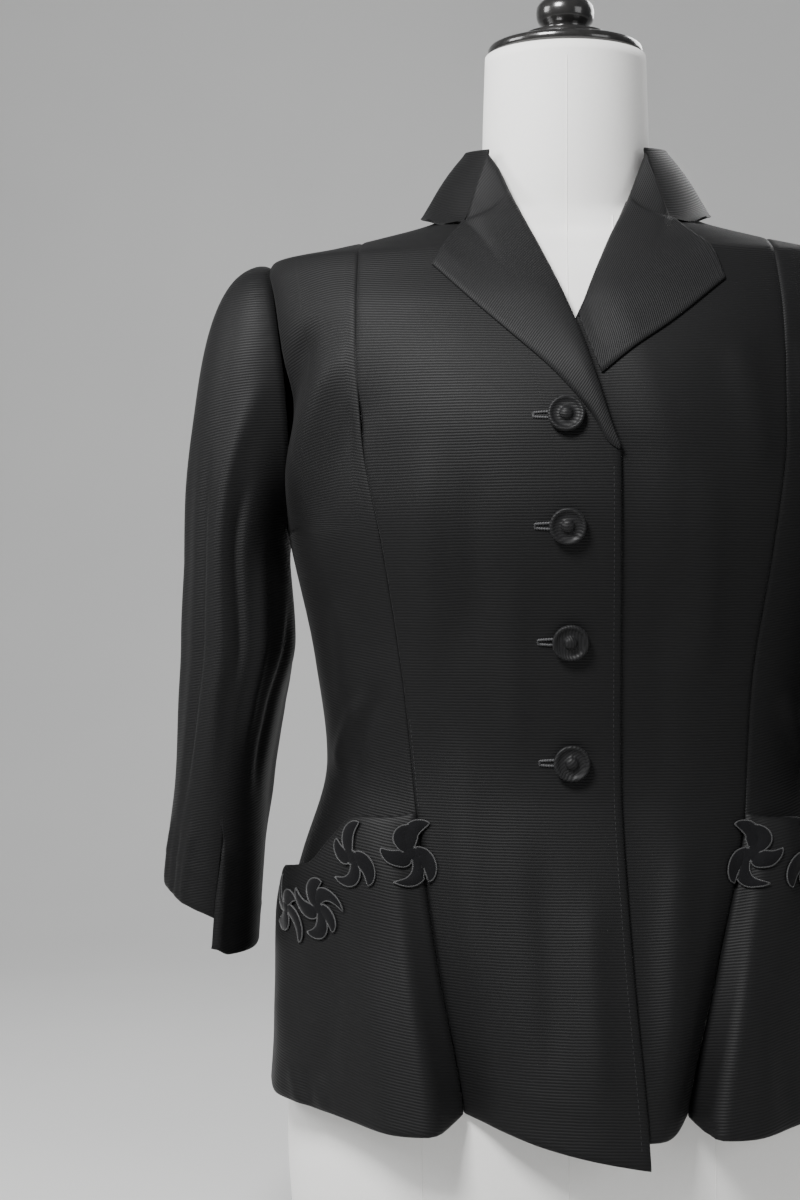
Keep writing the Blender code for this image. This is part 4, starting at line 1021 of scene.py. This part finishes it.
COLLAR_END = (
    (0.0512, -0.0382, 0.7668), (0.0594, -0.0458, 0.7430), (0.0682, -0.0532, 0.7185),
    (0.0800, -0.0440, 0.7180), (0.0925, -0.0330, 0.7232),
)
crown_spread = np.sin(np.linspace(0, math.pi, 7))
seam, roll, fall, edge = (
    collar_line(table) for table in (COLLAR_SEAM, COLLAR_ROLL, COLLAR_FALL, COLLAR_EDGE))
out = roll * (1, 1, 0) / np.linalg.norm(roll[:, :2], axis=1, keepdims=True)
crown = [roll + 0.0027 * (out * (1 - math.cos(turn)) + np.array([0, 0, math.sin(turn)]))
         for turn in np.radians([0, 30, 60, 90, 120, 150, 170])]
stand = [seam + (roll - seam) * share for share in (0, 0.2, 0.4, 0.6, 0.8)]
drop = [crown[-1] * (1 - share) ** 2 + 2 * share * (1 - share) * (fall * 2 - (crown[-1] + edge) / 2)
        + edge * share**2 for share in np.concatenate([np.linspace(0.08, 0.94, 18), [0.97, 0.985, 1.0]])]
points = np.stack(stand + crown + drop, axis=1)
for side in (-1, 1):
    gorge = chain([(x * side, y, z) for x, y, z in COLLAR_END], np.linspace(0, 1, len(drop)))
    pinch = np.repeat(gorge[:1], len(crown), axis=0)
    inner = seam[-1 if side > 0 else 0]
    inside = inner + (gorge[0] - inner) * np.array([0, 0.2, 0.4, 0.6, 0.8])[:, None]
    end = np.concatenate([inside, pinch + crown_spread[:, None] * (0, 0, 0.0012), gorge])
    near = ease((shares * side - 0.80) / 0.20)[:, None, None]
    points = points * (1 - near) + end[None] * near
size, area = cut_size(points)
mesh = bmesh.new()
lay_grid(mesh, points, np.stack([run_along(points, 0), run_along(points, 1)], axis=-1))
piece = make_piece("turned_collar", mesh, faille, ["collar"], WALL)


# Sleeves: bracelet length, set in at the armholes with a little ease in the head, hanging
# open at a slanted hem that laps over a short vent in front.
SLEEVE = (
    (0.495, 0.2218, 0.0330, 0.0000, 0.0690), (0.443, 0.2210, 0.0360, -0.0010, 0.0680),
    (0.400, 0.2265, 0.0325, -0.0020, 0.0650), (0.350, 0.2325, 0.0305, -0.0040, 0.0600),
    (0.300, 0.2375, 0.0320, -0.0050, 0.0565), (0.230, 0.2430, 0.0330, -0.0060, 0.0545),
)
SLEEVE_HEM = (
    (0.00, 0.2410), (0.05, 0.2360), (0.25, 0.2360), (0.50, 0.2600), (0.75, 0.2810), (0.90, 0.2700),
    (1.00, 0.2600),
)
CAP_FOOT = 0.495
GIRTH = 0.320
SLEEVE_DEPTH = 0.75
SLEEVE_SQUARE = 2.2
VENT_TOP = 0.312
VENT_TURN = math.radians(108)
SLEEVE_CREASES = (
    (0.300, 0.640, 0.304, 0.330, 0.004, 0.0060, 0.0024),
    (0.276, 0.600, 0.270, 0.300, -0.004, 0.0060, -0.0022),
    (0.250, 0.620, 0.246, 0.330, 0.004, 0.0080, 0.0018),
    (0.222, 0.560, 0.232, 0.300, 0.003, 0.0070, -0.0016),
    (0.312, 0.560, 0.318, 0.400, 0.002, 0.0050, -0.0018),
    (0.020, 0.520, 0.014, 0.360, 0.003, 0.0060, 0.0018),
    (0.060, 0.480, 0.036, 0.330, 0.006, 0.0070, -0.0020),
    (0.100, 0.450, 0.080, 0.300, 0.006, 0.0080, 0.0020),
    (0.150, 0.560, 0.156, 0.330, 0.004, 0.0080, 0.0018),
    (0.186, 0.540, 0.180, 0.340, -0.004, 0.0080, -0.0016),
    (0.290, 0.330, 0.286, 0.262, 0.001, 0.0036, 0.0011),
    (0.272, 0.325, 0.270, 0.268, 0.001, 0.0034, -0.0010),
    (0.256, 0.330, 0.254, 0.272, 0.001, 0.0036, 0.0010),
    (0.236, 0.330, 0.238, 0.276, 0.001, 0.0036, -0.0009),
    (0.130, 0.310, 0.128, 0.246, 0.001, 0.0040, 0.0010),
    (0.110, 0.305, 0.112, 0.240, 0.001, 0.0036, -0.0009),
)
sleeve_curves = [Curve(SLEEVE, column) for column in (1, 2, 3, 4)]


def sleeve_ring(side, cosine, sine, height):
    """Points of the sleeve's rings below the armhole."""
    middle, half, shift, depth = (curve(height) for curve in sleeve_curves)
    power = 2 / SLEEVE_SQUARE
    x = side * (middle + half * power_of(cosine, power))
    y = shift - depth * power_of(sine, power)
    return np.stack(np.broadcast_arrays(x, y, height), axis=-1)


def sleeve_points(side, around, down):
    """Points of the sleeve: share round from the vent, and 0 at the head to 2 at the hem."""
    around, down = np.broadcast_arrays(around, down)
    turn = VENT_TURN + 2 * math.pi * around
    cosine, sine = np.cos(turn), np.sin(turn)
    fallen = (sleeve_hem(around) - CAP_FOOT) * np.clip(down - 1, 0, 1)
    low = sleeve_ring(side, cosine, sine, CAP_FOOT + fallen)
    power = 2 / ARMHOLE_SQUARE
    face = np.where(sine >= 0, -1, 1)
    height = ARMHOLE_MIDDLE + ARMHOLE_HALF_HEIGHT * power_of(cosine, power)
    depth = np.where(face < 0, ARMHOLE_REACH[-1], ARMHOLE_REACH[1]) * np.abs(sine) ** power
    reach = np.where(face < 0, jacket.front(height), jacket.back(height))
    square = jacket.square(height)
    across = jacket.width(height) * (1 - np.minimum(1, depth / reach) ** square) ** (1 / square)
    rise = np.maximum(0, cosine)
    lift = 0.0012
    start = np.stack([side * (across + lift * (1 - 0.75 * rise)), face * (depth - lift * 0.3),
                      height + lift * rise], axis=-1)
    foot = sleeve_ring(side, cosine, sine, np.full(around.shape, CAP_FOOT))
    top = (1 + cosine) / 2
    leave = (0.012 + 0.138 * top**1.4)[..., None] * np.stack(
        [side + 0 * sine, face * 0.35 * np.abs(sine), 0.2 * rise], axis=-1)
    arrive = np.zeros_like(leave)
    arrive[..., 2] = -(0.02 + 0.23 * top)
    share = np.minimum(down, 1)[..., None]
    rest = 1 - share
    high = ((1 + 2 * share) * rest**2 * start + share * rest**2 * leave
            + share**2 * (3 - 2 * share) * foot - share**2 * rest * arrive)
    return np.where((down >= 1)[..., None], low, high)


sleeve_hem = Curve(SLEEVE_HEM)
around = np.linspace(0, 1, 121)
down = np.concatenate([[0, 0.006, 0.014], np.linspace(0.03, 1, 46), 1 + np.linspace(0, 1, 72)[1:-1],
                       [1.991, 1.996, 2.0]])
for word, side in (("right", -1), ("left", 1)):
    points = sleeve_points(side, around[:, None], down[None, :])
    (_, long), area = cut_size(points)
    bicep = points[:, np.argmin(np.abs(down - 1))]
    size = (float(np.linalg.norm(np.diff(bicep, axis=0), axis=1).sum()), long)
    area = min(area, size[0] * size[1])
    length = run_along(points, 1)
    from_hem = length[:, -1:] - length
    middle = np.stack([side * 0.228 + 0 * points[..., 0], 0 * points[..., 0], points[..., 2]], axis=-1)
    normals = grid_normals(points, middle)
    folds = SLEEVE_DEPTH * creases(around[:, None] * GIRTH + 0 * points[..., 2], points[..., 2],
                                   SLEEVE_CREASES)
    join = ease(np.minimum(around, 1 - around) / 0.02)[:, None]
    cosine = np.cos(VENT_TURN + 2 * math.pi * around)[:, None]
    eased = 0.00045 * np.sin(around[:, None] * 2 * math.pi * 46) * ease(cosine * 1.6) * np.exp(
        -(length - 0.008) ** 2 / 0.006**2)
    head = -0.0013 * np.clip(1 - length / 0.0040, 0, 1) ** 2
    out = folds * join * ease(length / 0.03) + eased + head + turned_edge(from_hem, 0.0008)
    out = out + 0.00035 * np.exp(-(((from_hem - 0.025) / 0.0022) ** 2))
    points = points + normals * out[..., None]
    points[-1] = points[0]
    below = VENT_TOP - points[0, :, 2]
    opened = (down > 1) & (below > 0)
    normal = np.array([side * math.cos(VENT_TURN), -math.sin(VENT_TURN), 0])
    along = -np.array([side * math.sin(VENT_TURN), -math.cos(VENT_TURN), 0])
    points[-1][opened] = sleeve_points(side, 1.0, down)[opened]
    lift = 0.0026 * ease(below / 0.012)
    for column, part in ((0, 1.0), (1, 0.85), (2, 0.7), (3, 0.5), (4, 0.3), (5, 0.12)):
        points[column][opened] += normal * (lift * part)[opened][:, None]
    points[0][opened] -= along * (0.0030 * ease(below / 0.05))[opened][:, None]
    mesh = bmesh.new()
    lay_grid(mesh, points, np.stack(np.broadcast_arrays(around[:, None] * GIRTH, points[..., 2]), axis=-1))
    bmesh.ops.remove_doubles(mesh, verts=mesh.verts, dist=1e-6)
    piece = make_piece(f"set_in_sleeve_{word}", mesh, faille_side_painted_light, [f"sleeve_{word}"], WALL)


# Four buttons, each a ringed mould covered in the jacket's own faille with a covered bead
# in its middle, sewn to the under front through a worked buttonhole.
BUTTON = (
    (0.0000, 0.0057), (0.0014, 0.0056), (0.0027, 0.0051), (0.0037, 0.0043), (0.0042, 0.0034),
    (0.0045, 0.0030), (0.0060, 0.0029), (0.0076, 0.0030), (0.0085, 0.0034), (0.0092, 0.0041),
    (0.0100, 0.0045), (0.0108, 0.0044), (0.0113, 0.0038), (0.0115, 0.0029), (0.0114, 0.0018),
    (0.0109, 0.0007), (0.0103, 0.0001), (0.0000, 0.0001),
)
BUTTONS = (
    (-0.002, 0.5840, 0.0006, 0),
    (-0.001, 0.5155, 0.0006, 5),
    (0.001, 0.4440, 0.0006, 90),
    (0.002, 0.3680, 0.0011, 40),
)
# The jacket's faille with its tone painted about two and a half times as light: painted light on the
# buttons.
button_faille_painted_light = ribbed("black_faille_button_painted_light", (0.0130, 0.0130, 0.0137), (0.0020, 0.0020, 0.0022),
                      0.50, 0.0, 0.0001)


def spun(name, sheen, low, high, rough):
    """A fuzzy thread between two tones."""
    material, shader, start = start_material(name, Sheen_Weight=sheen)
    fuzz = start.noise(start.place(), 1500.0, 2.0)
    feed(shader, Base_Color=fuzz.blend((*low, 1), (*high, 1)), Roughness=fuzz * 0.2 + rough)
    return material


thread = spun("buttonhole_thread", 0.15, (0.012, 0.012, 0.013), (0.055, 0.055, 0.058), 0.5)

for number, (across, height, lift, turn) in enumerate(BUTTONS, start=1):
    seat = front_skin(across, height, WALL / 2 + lift)
    ahead = front_skin(across, height, WALL / 2 + lift + 0.01)
    facing = Vector(ahead - seat).to_track_quat("Z", "Y").to_matrix().to_4x4()
    mesh = bmesh.new()
    spin_profile(mesh, BUTTON, 64)
    layer = mesh.loops.layers.uv.new("cut")
    lean = math.radians(turn)
    for face in mesh.faces:
        for loop in face.loops:
            spot = loop.vert.co
            loop[layer].uv = (spot.x * math.cos(lean) + spot.y * math.sin(lean),
                              spot.y * math.cos(lean) - spot.x * math.sin(lean) + spot.z * 0.7)
    bmesh.ops.transform(mesh, matrix=Matrix.Translation(Vector(seat)) @ facing, verts=mesh.verts)
    make_piece(f"covered_button_{number}", mesh, button_faille_painted_light, [f"button_{number}"])

    worked = bmesh.new()
    turns = np.linspace(0, 2 * math.pi, 161)
    straight = 0.0115
    loop_x = across - 0.0085 + straight * np.clip(np.cos(turns) * 1.35, -1, 1)
    loop_z = height + 0.0018 * np.sin(turns)
    line = front_skin(loop_x, loop_z, np.full(turns.shape, WALL / 2 + 0.0003))
    lay_tube(worked, line, 0.00080 + 0.00026 * np.sin(turns * 54), 8)
    shut(worked)
    make_piece(f"buttonhole_{number}", worked, thread)


# Hand stitching: fine black running stitches along the front edge, and the loose mending
# stitches that show along the right princess seam at the waist.
def lay_stitches(mesh, line, pitch, length, radius):
    """Add short stitches of thread along a line of points."""
    steps = run_along(line, 0)
    for place in np.arange(pitch, steps[-1] - length, pitch):
        spots = place + length * np.linspace(0, 1, 5)
        part = np.stack([np.interp(spots, steps, line[:, axis]) for axis in range(3)], axis=-1)
        lay_tube(mesh, part, radius * np.array([0.2, 0.9, 1.0, 0.9, 0.2]), 5)


stitches = bmesh.new()
heights = np.linspace(0.132, 0.555, 220)
centre = PANELS["front_right_centre"]
share = 0.0045 / np.abs(centre.outer(heights) - centre.inner(heights))
here, normal = centre.frame_at(share, heights)
lay_stitches(stitches, here + normal * 0.00062, 0.0036, 0.0024, 0.00022)
heights = np.linspace(0.335, 0.395, 60)
here, normal = centre.frame_at(np.full(60, 0.985), heights)
lay_stitches(stitches, here + normal * 0.00035, 0.0034, 0.0022, 0.00030)
shut(stitches)
silk = spun("black_sewing_silk", 0.05, (0.003, 0.003, 0.0034), (0.011, 0.011, 0.012), 0.6)
make_piece("edge_stitches", stitches, silk)
